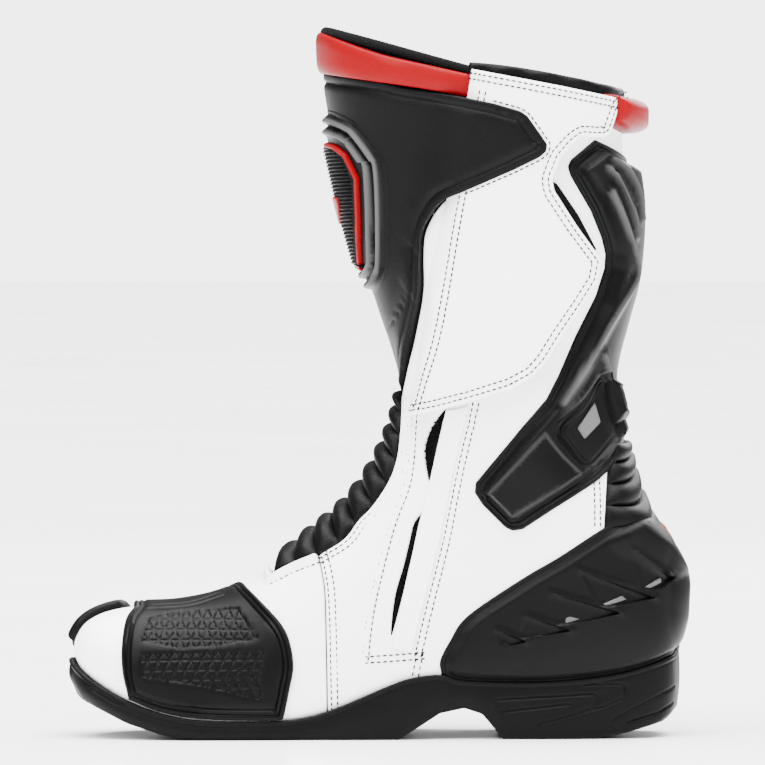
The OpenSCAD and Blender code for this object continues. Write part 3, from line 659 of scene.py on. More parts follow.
def moulded(name, colour, roughness, grain=0.0005, depth=0.00004, light=(0.05, 0.05, 0.051), **fixed):
    """Moulded plastic or rubber: a fine spark texture, edges lighter as partly rubbed wear and partly painted
    highlight, and a painted highlight, a lighter tone, on marked ridges.
    """
    f = Finish(name, colour, roughness, **fixed)
    spark = f.noise(1 / grain, 3.0, 0.6)
    broad = f.noise(35.0, 3.0, 0.5)
    f.bump(spark, depth, f.bump(broad, 0.0002))
    # Painted highlight and wear: the colour turns lighter in patches within 1.4 mm of the edges, where edges
    # catch light and get rubbed.
    highlight_and_wear = (1 - (f.attribute("edge") / 1.4).least(1.0)) * broad
    plain = f.mix((highlight_and_wear * 0.4 + spark * 0.25).least(1.0), tone(colour, 0.9), tone(colour, 1.8))
    # Painted highlight: where a piece marks it, the colour turns to the lighter tone, standing in for gloss
    # caught on ridges.
    f.feed("Base Color", f.mix(f.attribute("tint"), plain, light))
    f.feed("Roughness", roughness - 0.05 + broad * 0.12)
    return f.material


def woven(name, colour, roughness, pitch=0.0012, depth=0.0003, **fixed):
    """Knitted or woven cloth."""
    f = Finish(name, colour, roughness, **fixed)
    parts = f.tree.nodes.new("ShaderNodeSeparateXYZ")
    f.tree.links.new(f.place.socket, parts.inputs[0])
    x, y, z = (Value(f, parts.outputs[k]) for k in range(3))
    turn = 2 * PI / pitch
    weave = ((x + y * 0.7) * turn).sine() * (z * turn).sine()
    fuzz = f.noise(1800.0, 2.0)
    f.bump(weave * 0.5 + fuzz, depth)
    f.feed("Base Color", f.mix((weave * 0.3 + fuzz * 0.6).least(1.0), tone(colour, 0.6), tone(colour, 1.8)))
    return f.material


def wire_mesh(name, colour):
    """Silver mesh: a diamond net of wires with dark gaps."""
    f = Finish(name, colour, 0.35, Metallic=0.9)
    parts = f.tree.nodes.new("ShaderNodeSeparateXYZ")
    f.tree.links.new(f.place.socket, parts.inputs[0])
    x, z = Value(f, parts.outputs[0]), Value(f, parts.outputs[2])
    turn = 2 * PI / 0.0011
    wire = (((x + z) * turn).sine().size()).most(((x - z) * turn).sine().size())
    f.bump(wire, 0.0003)
    f.feed("Base Color", f.mix(wire ** 3.0, tone(colour, 0.12), colour))
    f.feed("Roughness", 0.55 - wire * 0.2)
    return f.material


def metal(name, colour, roughness):
    """Brushed metal."""
    f = Finish(name, colour, roughness, Metallic=1.0)
    brushed = f.noise(900.0, 4.0, 0.7)
    f.bump(brushed, 0.00003)
    f.feed("Roughness", roughness - 0.06 + brushed * 0.15)
    f.feed("Base Color", f.mix(brushed, tone(colour, 0.85), colour))
    return f.material


def reflector(name, colour):
    """A clear red lens over small prisms."""
    f = Finish(name, colour, 0.2, Coat_Weight=0.08, Specular_IOR_Level=0.15)
    prism = f.cells(520.0)
    f.bump(prism, 0.0004)
    f.feed("Base Color", f.mix(prism.least(1.0), colour, tone(colour, 1.5)))
    f.feed("Roughness", 0.12 + prism * 0.15)
    return f.material


def thread(name, colour):
    """Twisted sewing thread."""
    f = Finish(name, colour, 0.6, Specular_IOR_Level=0.1)
    twist = f.noise(4200.0, 2.0)
    f.bump(twist, 0.0001)
    f.feed("Base Color", f.mix(twist, tone(colour, 0.6), tone(colour, 1.6)))
    return f.material


FINISHES = {}


def finish(name):
    """A finished material by its short name."""
    return FINISHES[name]


# ---------------------------------------------------------------- stitches and repeats

def tree_with(name, inputs):
    """A geometry node tree with a mesh in and out and named inputs."""
    tree = bpy.data.node_groups.new(name, "GeometryNodeTree")
    tree.interface.new_socket("Geometry", in_out="INPUT", socket_type="NodeSocketGeometry")
    for label, kind, value in inputs:
        made = tree.interface.new_socket(label, in_out="INPUT", socket_type="NodeSocket" + kind)
        if value is not None:
            made.default_value = value
    tree.interface.new_socket("Geometry", in_out="OUTPUT", socket_type="NodeSocketGeometry")
    return tree


class Nodes:
    """Adds nodes to a tree by name, linking or setting their inputs."""

    def __init__(self, tree):
        self.tree = tree
        self.inputs = tree.nodes.new("NodeGroupInput")
        self.output = tree.nodes.new("NodeGroupOutput")

    def add(self, kind, settings=None, **values):
        made = self.tree.nodes.new(kind)
        for key, value in (settings or {}).items():
            setattr(made, key, value)
        for key, value in values.items():
            socket = made.inputs[key.replace("_", " ")]
            if isinstance(value, bpy.types.NodeSocket):
                self.tree.links.new(value, socket)
            else:
                socket.default_value = value
        return made


    def maths(self, operation, *values):
        """The output of a Math node on values or links."""
        made = self.add("ShaderNodeMath", {"operation": operation})
        for socket, value in zip(made.inputs, values):
            if isinstance(value, bpy.types.NodeSocket):
                self.tree.links.new(value, socket)
            else:
                socket.default_value = value
        return made.outputs[0]


TOOTH_SHARE = 0.62     # a tooth's share of the zip's pitch
TOOTH_SHIFT = 0.0016   # from a tooth's place to its neighbour's, across the zip, in metres


def stitch_tree():
    """Stitches along every curve: short capsules set end to end with small gaps."""
    tree = tree_with("Stitch Rows", [("Pitch", "Float", 0.0032), ("Length", "Float", 0.0024),
                                     ("Thickness", "Float", 0.0008), ("Thread", "Material", None)])
    g = Nodes(tree)
    group = g.inputs.outputs
    rows = g.add("GeometryNodeResampleCurve", {"mode": "LENGTH"}, Curve=group["Geometry"],
                 Length=group["Pitch"])
    bead = g.add("GeometryNodeMeshUVSphere", Segments=6, Rings=5, Radius=0.5)
    size = g.add("ShaderNodeCombineXYZ", X=group["Thickness"], Y=group["Thickness"], Z=group["Length"])
    stitch = g.add("GeometryNodeTransform", Geometry=bead.outputs["Mesh"], Scale=size.outputs[0])
    way = g.add("GeometryNodeInputTangent")
    turn = g.add("FunctionNodeAlignRotationToVector", {"axis": "Z"}, Vector=way.outputs[0])
    set_out = g.add("GeometryNodeInstanceOnPoints", Points=rows.outputs[0], Instance=stitch.outputs[0],
                    Rotation=turn.outputs[0])
    real = g.add("GeometryNodeRealizeInstances", Geometry=set_out.outputs[0])
    smooth = g.add("GeometryNodeSetShadeSmooth", Geometry=real.outputs[0])
    done = g.add("GeometryNodeSetMaterial", Geometry=smooth.outputs[0], Material=group["Thread"])
    tree.links.new(done.outputs[0], g.output.inputs[0])
    return tree


def teeth_tree():
    """Zip teeth: blocks that point to alternate sides along a curve."""
    tree = tree_with("Zip Teeth", [("Pitch", "Float", 0.0013), ("Width", "Float", 0.0034),
                                   ("Depth", "Float", 0.0012), ("Metal", "Material", None)])
    g = Nodes(tree)
    group = g.inputs.outputs
    rows = g.add("GeometryNodeResampleCurve", {"mode": "LENGTH"}, Curve=group["Geometry"],
                 Length=group["Pitch"])
    tooth = g.maths("MULTIPLY", group["Pitch"], TOOTH_SHARE)
    size = g.add("ShaderNodeCombineXYZ", X=group["Width"], Y=group["Depth"], Z=tooth)
    block = g.add("GeometryNodeMeshCube", Size=size.outputs[0])
    way = g.add("GeometryNodeInputTangent")
    turn = g.add("FunctionNodeAlignRotationToVector", {"axis": "Z"}, Vector=way.outputs[0])
    level = g.add("FunctionNodeAlignRotationToVector", {"axis": "Y", "pivot_axis": "Z"},
                  Rotation=turn.outputs[0], Vector=(0.0, -1.0, 0.0))
    index = g.add("GeometryNodeInputIndex")
    odd = g.maths("MODULO", index.outputs[0], 2.0)
    aside = g.maths("MULTIPLY_ADD", odd, TOOTH_SHIFT, -TOOTH_SHIFT / 2)
    shift = g.add("ShaderNodeCombineXYZ", X=aside)
    set_out = g.add("GeometryNodeInstanceOnPoints", Points=rows.outputs[0], Instance=block.outputs["Mesh"],
                    Rotation=level.outputs[0])
    moved = g.add("GeometryNodeTranslateInstances", Instances=set_out.outputs[0],
                  Translation=shift.outputs[0])
    real = g.add("GeometryNodeRealizeInstances", Geometry=moved.outputs[0])
    done = g.add("GeometryNodeSetMaterial", Geometry=real.outputs[0], Material=group["Metal"])
    tree.links.new(done.outputs[0], g.output.inputs[0])
    return tree


def from_tree(name, tree, curves, **inputs):
    """Runs a tree over curves through the given points and returns the plain mesh."""
    data = bpy.data.curves.new(name + ".path", "CURVE")
    data.dimensions = "3D"
    for points in curves:
        row = data.splines.new("POLY")
        row.points.add(len(points) - 1)
        row.points.foreach_set("co", np.hstack([points * MM, np.ones((len(points), 1))]).ravel())
    path = bpy.data.objects.new(name + ".path", data)
    bpy.context.scene.collection.objects.link(path)
    modifier = path.modifiers.new("Make", "NODES")
    modifier.node_group = tree
    for socket in tree.interface.items_tree:
        if socket.in_out == "INPUT" and socket.name in inputs:
            modifier[socket.identifier] = inputs[socket.name]
    view = bpy.context.evaluated_depsgraph_get()
    mesh = bpy.data.meshes.new_from_object(path.evaluated_get(view), depsgraph=view)
    bpy.data.objects.remove(path)
    mesh.name = name
    piece = bpy.data.objects.new(name, mesh)
    bpy.context.scene.collection.objects.link(piece)
    return piece


def stitches(name, rows, thread_finish, height):
    """Stitches along surface lines; height(path) gives their height over the surface."""
    paths = [even(row, 1.0) for row in rows]
    return from_tree(name, TREES["stitch"], [at(path, height(path)) for path in paths],
                     Pitch=sizes().stitch_pitch * MM, Length=STITCH_LENGTH * MM,
                     Thickness=STITCH_THICKNESS * MM, Thread=finish(thread_finish))


TREES = {}
STITCH_LENGTH = 2.3
STITCH_THICKNESS = 0.85

# ---------------------------------------------------------------- outlines, in side-view millimetres

FEATHER = [(-149, 39), (-146.5, 35), (-138, 28.5), (-123, 20), (-106, 13.5), (-86, 10), (-50, 9.5), (-28, 13),
           (5, 26.5), (17, 30.5), (31, 32), (44, 29), (84, 28.5), (116, 32), (136, 37.5), (149.5, 43.5)]
SOLE_UNDER = [(-155, 29), (-147, 19.5), (-123, 8), (-106, 2.5), (-88, 0), (10, 0), (18, 4.5), (31, 13),
              (43, 15.5), (52, 12.5), (57, 6.5), (62, 0), (108, 0), (124, 3), (141, 8), (152, 14.5)]
SEAM_1 = [(-24.5, 12.5), (-25, 39), (-25.5, 59), (-26.5, 76), (-29.5, 90.5)]
GUSSET_EDGE = [(-52, 79), (-41.5, 85), (-29.5, 90.5), (-17, 98.5), (-10, 107.5), (-3.5, 114), (2, 121.5),
               (6, 128.5), (9, 137), (10.5, 146), (11.5, 157), (11.8, 168)]
SHIN_EDGE = [(11.8, 169), (18.5, 201), (22, 221), (22, 238), (23.5, 251), (31.5, 264), (43.5, 270)]
WING_EDGE = [(43.5, 270), (66, 279.5), (79.5, 286), (83, 289), (83.5, 292.5), (79, 299), (73.5, 306.5),
             (70, 308.8), (57, 312.5), (40.5, 316), (12, 320.5), (-10, 325), (-26.5, 329)]
FLAP_FREE = [(123, 313.5), (119, 310.5), (115.5, 300), (113.5, 296.5), (107.5, 296), (100.5, 296.5),
             (96, 293), (90, 286), (86, 275.5), (87, 270), (98, 253), (110.5, 236), (108.5, 225.5),
             (100.5, 212.5), (91, 198.5), (83, 185.5), (76.5, 178.5), (65.5, 172.5), (47, 167), (31, 162.5),
             (20, 159)]
BRACE_FRONT = [(107, 295), (95, 285), (93.5, 281.5), (95, 277), (105, 260), (110.5, 246.5), (112.3, 239),
               (112, 232), (107.5, 218), (97.5, 198.5), (89, 179), (83, 167.5), (70, 152.5), (55.5, 135),
               (48.5, 126.5), (48, 121.5), (52, 115.5), (63, 104.5), (66.5, 102.8), (71.5, 103.5),
               (87.5, 114), (108, 127), (115, 133), (124, 146)]
HEEL_TOP = [(31.5, 33), (31, 39), (36, 49), (44.5, 61), (70, 78.5), (89.5, 90), (109.5, 103), (121.5, 109.5),
            (130.5, 112)]
PAD_EDGE = [(-45.5, 12.5), (-43, 24.5), (-41, 38), (-45, 54), (-56.5, 67), (-67, 75.5)]
PAD_FRONT = [(-121.5, 20.5), (-124.5, 32), (-125.5, 44), (-124, 57), (-120, 62.5)]
SLIT_UP = [(33.5, 163), (30, 159), (26, 153), (23.5, 146), (23, 140), (24.2, 132), (25.5, 127.2), (27.6, 134),
           (30.5, 148)]
SLIT_LOW = [(22, 112), (18, 106.5), (16, 98.5), (13, 86), (8.6, 69.5), (7, 51), (11.6, 67), (16.8, 89.5),
            (20.5, 107)]
SHORT_OF_BACK = -3.12   # in radians: a line that runs on past it meets its own mirror image


def across_ankle(piece):
    """Leather across the ankle, from the foot below to the shaft above: its transform is baked into its mesh.
    """
    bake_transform(piece)
    return piece


# ---------------------------------------------------------------- settings

def colour_setting(name, description, default):
    """A colour in the panel."""
    return bpy.props.FloatVectorProperty(name=name, description=description, subtype="COLOR", size=3,
                                         default=default, min=0, max=1)


def length_setting(name, description, default, low, high):
    """A length in the panel, in millimetres."""
    return bpy.props.FloatProperty(name=name, description=description + ", in mm", default=default,
                                   min=low, max=high)


class BootColours(bpy.types.PropertyGroup):
    """Colours of the boot's materials"""
    white: colour_setting("White leather", "Colour of the main leather", (0.88, 0.88, 0.875))
    black: colour_setting("Black leather", "Colour of the shin panel and gussets", (0.0016, 0.0016, 0.0018))
    red: colour_setting("Red leather", "Colour of the padded collar", (0.135, 0.0002, 0.0022))
    armour: colour_setting("Armour", "Colour of the moulded armour", (0.0018, 0.0018, 0.0019))
    rubber: colour_setting("Rubber", "Colour of the sole and the shift pad", (0.0014, 0.0014, 0.0015))
    cloth: colour_setting("Lining", "Colour of the lining cloth", (0.002, 0.002, 0.0022))
    silver: colour_setting("Silver", "Colour of the vent mesh", (0.13, 0.13, 0.135))


class BootSizes(bpy.types.PropertyGroup):
    """Sizes of the boot's details"""
    stitch_pitch: length_setting("Stitch pitch", "From one stitch to the next", 2.9, 1.5, 6)
    stitch_gap: length_setting("Row gap", "Between the rows of a double seam", 3.0, 1.5, 6)
    rib_height: length_setting("Rib height", "Height of a gusset rib", 4.6, 1, 6)
    front_ribs: bpy.props.IntProperty(name="Instep ribs", description="Ribs over the instep", default=10,
                                      min=5, max=12)
    tile: length_setting("Tile", "Side of a triangle on the shift pad", 5.3, 3, 9)
    armour: length_setting("Armour height", "Height of the calf brace", 5.2, 3, 7)


def sizes():
    return bpy.context.scene.boot_sizes


def colours():
    return bpy.context.scene.boot_colours


# ---------------------------------------------------------------- leather

def leather_height(seams=(), channels=(), thickness=0.0, flange=1.0):
    """Height of a leather panel: a round edge, steps at overlapping seams, channels under stitches."""
    def height(patch, edge):
        h = thickness - 1.3 + 1.3 * dome(edge, flange)
        for line, step in seams:
            d = patch.beyond(line)
            h = h + step * ramp(d, -0.35, 0.35) * (1 - ramp(d, 9, 22))
        for line in channels:
            h = h - 0.22 * groove(patch.near(line), 0.9)
        return h
    return height


def low_feather():
    """The lower edge of the white leather, tucked in behind the sole's lip."""
    return [(x, z - 1.2) for x, z in FEATHER]


def doubled(line, inset=2.2):
    """Two stitch rows to the left of a line."""
    return rows_beside(line, inset, inset + sizes().stitch_gap)


def rows_beside(line, *distances):
    """Lines at those distances to the left of a line."""
    path = even(line, 1.5)
    return [beside(path, distance) for distance in distances]


def toe_leather():
    """The white leather over the toes, as far as the instep's gusset; returns its stitch rows."""
    low = inner(low_feather())
    low = low[low[:, 0] < inner([(-24.5, 12.5), (-24.6, 13)])[0, 0]]
    low[0] = (0.02, -PI * 0.5)
    half = np.vstack([low, inner(SEAM_1), inner(GUSSET_EDGE[:3])[::-1], [[7.95, 0.0]]])
    outline = over_front(half[:-1])
    seam = inner(SEAM_1)
    lower_edge = inner(GUSSET_EDGE[:3])
    twin_rows = doubled(lower_edge[::-1], inset=2.0)
    channels = doubled(seam[::-1]) + doubled(mirrored(seam)[::-1])
    channels += twin_rows + [row * [1, -1] for row in twin_rows]
    lip = over_front(lower_edge[::-1])
    plain = leather_height(channels=channels, flange=1.1)

    def height(patch, edge):
        return plain(patch, edge) + 2.6 * (1 - ramp(patch.near(lip), 0.8, 5))
    piece = panel("toe_leather", outline, height, finish("white"), under=-1.8, spacing=2.3)
    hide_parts("toe_cap", "vamp")
    across_ankle(piece)
    return channels


def upper_half(side):
    """One side of the upper, from the vamp seam round to the back seam and up to the rim."""
    low = inner(low_feather())
    low = low[low[:, 0] > inner([(-24, 12.6), (-23.9, 13)])[0, 0]]
    seam = inner([(x + 0.6, z) for x, z in SEAM_1])
    front = inner([(x + 0.5, z) for x, z in GUSSET_EDGE[2:]])
    shin = inner([(x + 0.5, z - 0.4) for x, z in SHIN_EDGE])
    top = np.array([[21.9, math.radians(-86)], [21.9, math.radians(-130)], [21.75, math.radians(-179.5)]])
    back = np.array([[s, math.radians(-179.5)] for s in np.arange(21.5, low[-1, 0], -0.3)])
    outline = np.vstack([seam, front, shin, top, back, low[::-1]])
    return outline if side < 0 else outline * [1, -1]


def ankle_leather():
    """The white leather round the foot, the ankle and the calf, on both sides."""
    seam_2 = inner([(22.5, 176), (19, 160), (17.5, 140), (15, 124.5), (8, 106), (2, 84), (-3, 61.5),
                    (-5.5, 40)])
    seam_2b = inner([(-5.5, 40), (10, 41), (22.5, 42)], False)
    seam_2c = inner([(22.5, 42), (20.5, 32)], False)
    edge = inner([(x + 1, z) for x, z in GUSSET_EDGE[2:]])
    pairs = doubled(edge[::-1], inset=2.0)
    second = rows_beside(seam_2, 1.2, -1.8)
    rows = pairs + second + rows_beside(seam_2b, 0.9, -2.1) + [seam_2c] + rows_beside(seam_2c, -3.0)
    rows += [inner([(x, 152), (x + 0.5, 106)], False) for x in (106.5, 109.3)]
    piece = panel("upper_inner", upper_half(-1),
                  leather_height(seams=[(seam_2[::-1], 0.5)], channels=rows), finish("white"), under=-1.8,
                  spacing=2.4, holes=[inner(SLIT_UP), inner(SLIT_LOW)])
    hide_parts("quarter_medial", "ankle_gusset_medial", "calf_medial_front", "calf_medial_rear")
    across_ankle(piece)
    calf_seam = outer(FLAP_FREE[10:], False)
    other_rows = [row * [1, -1] for row in pairs + second] + [calf_seam] + rows_beside(calf_seam, 2.8)
    piece = panel("upper_outer", upper_half(1), leather_height(channels=other_rows), finish("white"),
                  under=-1.8, spacing=2.6)
    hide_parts("quarter_lateral", "ankle_gusset_lateral", "calf_lateral")
    across_ankle(piece)
    return rows, other_rows


def zip_guard():
    """The straight strip beside the lower zip, and the zip under it."""
    left = [(34, 162.5), (26, 127.5), (21, 107.5), (17, 89.5), (11.5, 66), (6.8, 45)]
    right = [(45.5, 165.5), (37, 127.5), (31, 98), (23.5, 68.5), (17.2, 42.5)]
    outline = np.vstack([inner(left), inner(right)[::-1]])
    rows = doubled(inner(right), inset=1.6)
    piece = panel("zip_guard", outline, leather_height(channels=rows, thickness=1.5, flange=0.9),
                  finish("white"), under=0.1, spacing=1.8)
    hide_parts("zip_guard_strip")
    across_ankle(piece)
    wave = [(33.5, 166), (27, 150), (24, 138), (25, 124), (20, 108), (15.5, 92), (10.5, 72), (7.5, 48)]
    cells = coons(inner([(29, 166), (38, 166)]), inner([(3.5, 48), (12, 48)]),
                  inner([(x - 4.5, z) for x, z in wave]), inner([(x + 4.5, z) for x, z in wave]), 6, 60)
    tape = grid_piece("zip_tape_lower", cells, np.full(cells.shape[:2], -2.6), -3.4, finish("zip_cloth"))
    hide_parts("zip_chain_lower")
    across_ankle(tape)
    teeth = from_tree("zip_teeth_lower", TREES["teeth"], [at(even(inner(wave), 1.0), -2.0)], Pitch=1.5 * MM,
                      Width=3.0 * MM, Depth=1.2 * MM, Metal=finish("zip_cloth"))
    across_ankle(teeth)
    return rows


FLAP_STAND = 8.3    # how far the flap's leather stands off the surface
ON_FLAP = 0.62      # the height of its stitches over that


def on_hinge(piece):
    """Leather at the closure flap's hinge: its transform is baked into its mesh."""
    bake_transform(piece)
    return piece


def hinge_line():
    """The straight line that the closure flap turns on, from the top down."""
    return inner([(53.9, 328.3), (23.5, 164.5)], False)


def flap_lift(patch):
    """How far the flap's leather stands off the surface, over the zip."""
    return FLAP_STAND * ramp(patch.beyond(hinge_line()), -11, 1.5)


def over_flap(path):
    """The height of stitches on the flap."""
    return flap_lift(Patch(path, np.array([20.0, 50.0]))) + ON_FLAP


def closure():
    """The white flap over the zip."""
    free = raised(FLAP_FREE, 8.6, 0, 12)
    front = [(13, 155), (16.5, 171), (22, 200), (25, 225), (31, 252), (38, 285), (46.3, 329.5)]
    top = [(46.3, 329.5), (57, 327.3), (89.5, 321.3), (121.5, 315)]
    top_edge = raised(top, 8.6, 8)
    outline = np.vstack([top_edge[1:], free[1:], inner(front)])
    fold = inner([(23.5, 164.5), (31, 201), (38, 250), (44, 285), (50, 318)])
    hinge = hinge_line()
    rows = rows_beside(free, -2.4, -5.2) + rows_beside(top_edge, -2.0, -4.8)
    rows += [fold] + rows_beside(fold, -2.8)

    def height(patch, edge):
        h = flap_lift(patch) + 0.6 - 1.4 + 1.4 * dome(edge, 1.2)
        for row in rows:
            h = h - 0.22 * groove(patch.near(row), 0.9)
        return h

    def under(patch, edge):
        return 6.6 * ramp(patch.beyond(hinge), -10, 1.5) + 0.1
    piece = panel("closure_flap_leather", outline, height, finish("white"), under=under, spacing=2.2)
    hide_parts("closure_flap", "flap_root")
    on_hinge(piece)
    return rows


def fastener():
    """The hook strip on the shaft and the loop strip inside the flap."""
    hook_edge = [(76, 300), (74, 234), (104, 240), (106.8, 241), (98, 258), (87.5, 273.5), (82, 276),
                 (81, 285), (84, 299)]
    loop_edge = [(76, 300), (74, 234), (93, 240), (91, 253), (80.5, 274), (80.5, 285), (84, 299)]
    for name, edge, low, high, body in (("hook_pile", hook_edge, 0.5, 2.6, "shaft"),
                                        ("loop_pile", loop_edge, 3.6, 5.6, "flap")):
        piece = panel(name, inner(edge + edge[:1], False)[:-1],
                      lambda p, e, top=high: top - 0.5 + 0.5 * dome(e, 0.8), finish("hook"), under=low,
                      spacing=2.2, rings=(0.3, 0.8))
        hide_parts(name.replace("pile", "strip"))
        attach(piece, body)


def shin_leather():
    """The black moulded shin panel, whose wing lies over the closure flap."""
    inner_edge = np.vstack([inner(SHIN_EDGE)[:-1], raised(WING_EDGE[:11], 10.8, 6, 16)])
    outer_edge = np.vstack([inner(SHIN_EDGE)[:-1], inner([(43.5, 270), (45, 285), (46, 315)], False)])
    top = np.array([[21.02 + 0.28 * ramp(abs(a), 12, 80), math.radians(a)]
                    for a in (-70, -45, -20, 0, 20, 45, 70)])
    outline = np.vstack([inner_edge, top[1:-1], mirrored(outer_edge)])
    hinge = hinge_line()

    def height(patch, edge):
        lift = 10.4 * ramp(patch.beyond(hinge), -34, 0.5)
        h = lift + 0.3 - 1.3 + 1.3 * dome(edge, 1.3)
        h = h - 0.9 * groove(edge - 4.6, 1.3) + 0.5 * ramp(edge, 5.2, 8.0)
        fold = patch.near(inner([(15.5, 217), (2, 197)], False))
        return h - 1.0 * groove(fold, 1.5)

    def under(patch, edge):
        return 9.0 * ramp(patch.beyond(hinge), -13, 0.5) - 1.8 * (1 - ramp(patch.beyond(hinge), -14, -10))
    piece = panel("shin_leather", outline, height, finish("black"), under=under, spacing=2.0,
                  rings=(0.25, 0.6, 1.1, 3.4, 4.0, 4.6, 5.2, 5.8))
    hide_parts("shin_panel", "flap_wing")
    on_hinge(piece)
    wing = raised(WING_EDGE[:9], 10.0, 6, 8)
    return rows_beside(wing, -1.3)


def gussets():
    """The ribbed gussets over the instep and behind the ankle."""
    ribs = sizes().front_ribs
    edge = inner(GUSSET_EDGE)
    low = np.array([edge[0], [7.95, 0.0], edge[0] * [1, -1]])
    high = np.array([edge[-1], [13.75, 0.0], edge[-1] * [1, -1]])
    cells = coons(low, high, edge, edge * [1, -1], 44, ribs * 12)
    v = np.linspace(0, ribs, ribs * 12 + 1)[:, None]
    u = np.linspace(-1, 1, 45)[None, :]
    swell = abs(np.sin(PI * v)) ** 0.62 * (1 - abs(u) ** 5)
    wrinkle = 0.25 * np.sin(u * 31 + v * 2.1) * np.sin(u * 17 - v) * abs(np.sin(PI * v))
    top = -0.4 + sizes().rib_height * swell + wrinkle
    piece = grid_piece("instep_ribs", cells, top, -1.8, finish("gusset"), sharp=60)
    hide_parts("instep_bellows")
    across_ankle(piece)

    left = inner([(111.5, 104), (112.5, 120), (113.5, 134), (114, 147)])
    right = behind(left)
    low = np.array([left[0], [14.9, -PI], right[0]])
    high = np.array([left[-1], [16.0, -PI], right[-1]])
    cells = coons(low, high, left, right, 40, 4 * 14)
    v = np.linspace(0, 4, 57)[:, None]
    u = np.linspace(-1, 1, 41)[None, :]
    top = 0.35 + 4.2 * abs(np.sin(PI * v)) ** 0.45 * (1 - abs(u) ** 10)
    piece = grid_piece("tendon_ribs", cells, top, -1.6, finish("gusset"), sharp=60)
    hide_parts("heel_bellows")
    across_ankle(piece)


# ---------------------------------------------------------------- collar and lining

def collar_pads():
    """The red padded collar, in front and behind."""
    def cushion(full, creases):
        def height(patch, edge):
            h = 0.4 + full * dome(edge, 5.5) ** 0.8
            return h - creases * 0.35 * np.sin(patch.line[:, 1] * 16) * ramp(edge, 1, 4)
        return height
    turns = np.radians(np.arange(-88, 89, 4.0))
    low = np.stack([21.0 + 0.3 * ramp(abs(turns), 0.2, 1.4), turns], -1)
    top = np.stack([22.2 - 0.3 * ramp(abs(turns), 0.05, 0.9), turns], -1)[::-1]
    piece = panel("collar_front_pad", np.vstack([low, top]), cushion(2.6, 0.6), finish("red"), under=-1.5,
                  spacing=2.0, rings=(0.3, 0.8, 1.6, 2.6))
    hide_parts("collar_front")
    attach(piece, "shaft")
    low = np.array([[21.42, math.radians(a)] for a in range(-207, -152, 3)])
    low[:, 0] += 0.12 * (abs(low[:, 1] + PI) / math.radians(27)) ** 3
    top = np.array([[22.14, math.radians(a)] for a in range(-153, -208, -3)])
    piece = panel("collar_rear_pad", np.vstack([low, top]), cushion(12.5, 0), finish("red"), under=-1.2,
                  spacing=2.0, rings=(0.3, 0.8, 1.6, 2.6))
    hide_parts("collar_rear")
    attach(piece, "shaft")


def rim_roll():
    """The black roll of lining along the rim."""
    turns = np.radians(np.arange(-180, 180, 3.0))
    rise = np.array([21.96 + 0.25 * math.cos(a / 2) ** 6 for a in turns])
    line = np.stack([rise, turns], -1)
    rim = at(line, -2.2)
    sides, n = 12, len(rim)
    rows = []
    for a in (2 * PI * k / sides for k in range(sides)):
        rows.append(rim + outward(line) * 2.6 * math.cos(a) + np.array([0, 0, 2.4]) * math.sin(a))
    points = np.vstack(rows)
    faces = [(k * n + i, k * n + (i + 1) % n, ((k + 1) % sides) * n + (i + 1) % n, ((k + 1) % sides) * n + i)
             for k in range(sides) for i in range(n)]
    piece = new_piece("rim_roll", points, faces, finish("cloth"), sharp=80)
    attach(piece, "shaft")


def collar_gusset():
    """The soft black gusset between the rear pad and the lining."""
    def soft(patch, edge):
        return -1.6 + 2.4 * dome(edge, 3.5) + 0.4 * np.sin(patch.line[:, 1] * 22 + patch.line[:, 0] * 9)
    low = np.array([[21.86, math.radians(a)] for a in range(-274, -85, 4)])
    top = np.array([[22.36, math.radians(a)] for a in range(-88, -273, -4)])
    top[:, 0] -= 0.16 * (abs(top[:, 1] + PI) / math.radians(90)) ** 4
    piece = panel("collar_rear_gusset", np.vstack([low, top]), soft, finish("gusset"), under=-5.4,
                  spacing=2.2, rings=(0.3, 0.8, 1.8))
    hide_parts("collar_gusset")
    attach(piece, "shaft")


# ---------------------------------------------------------------- armour

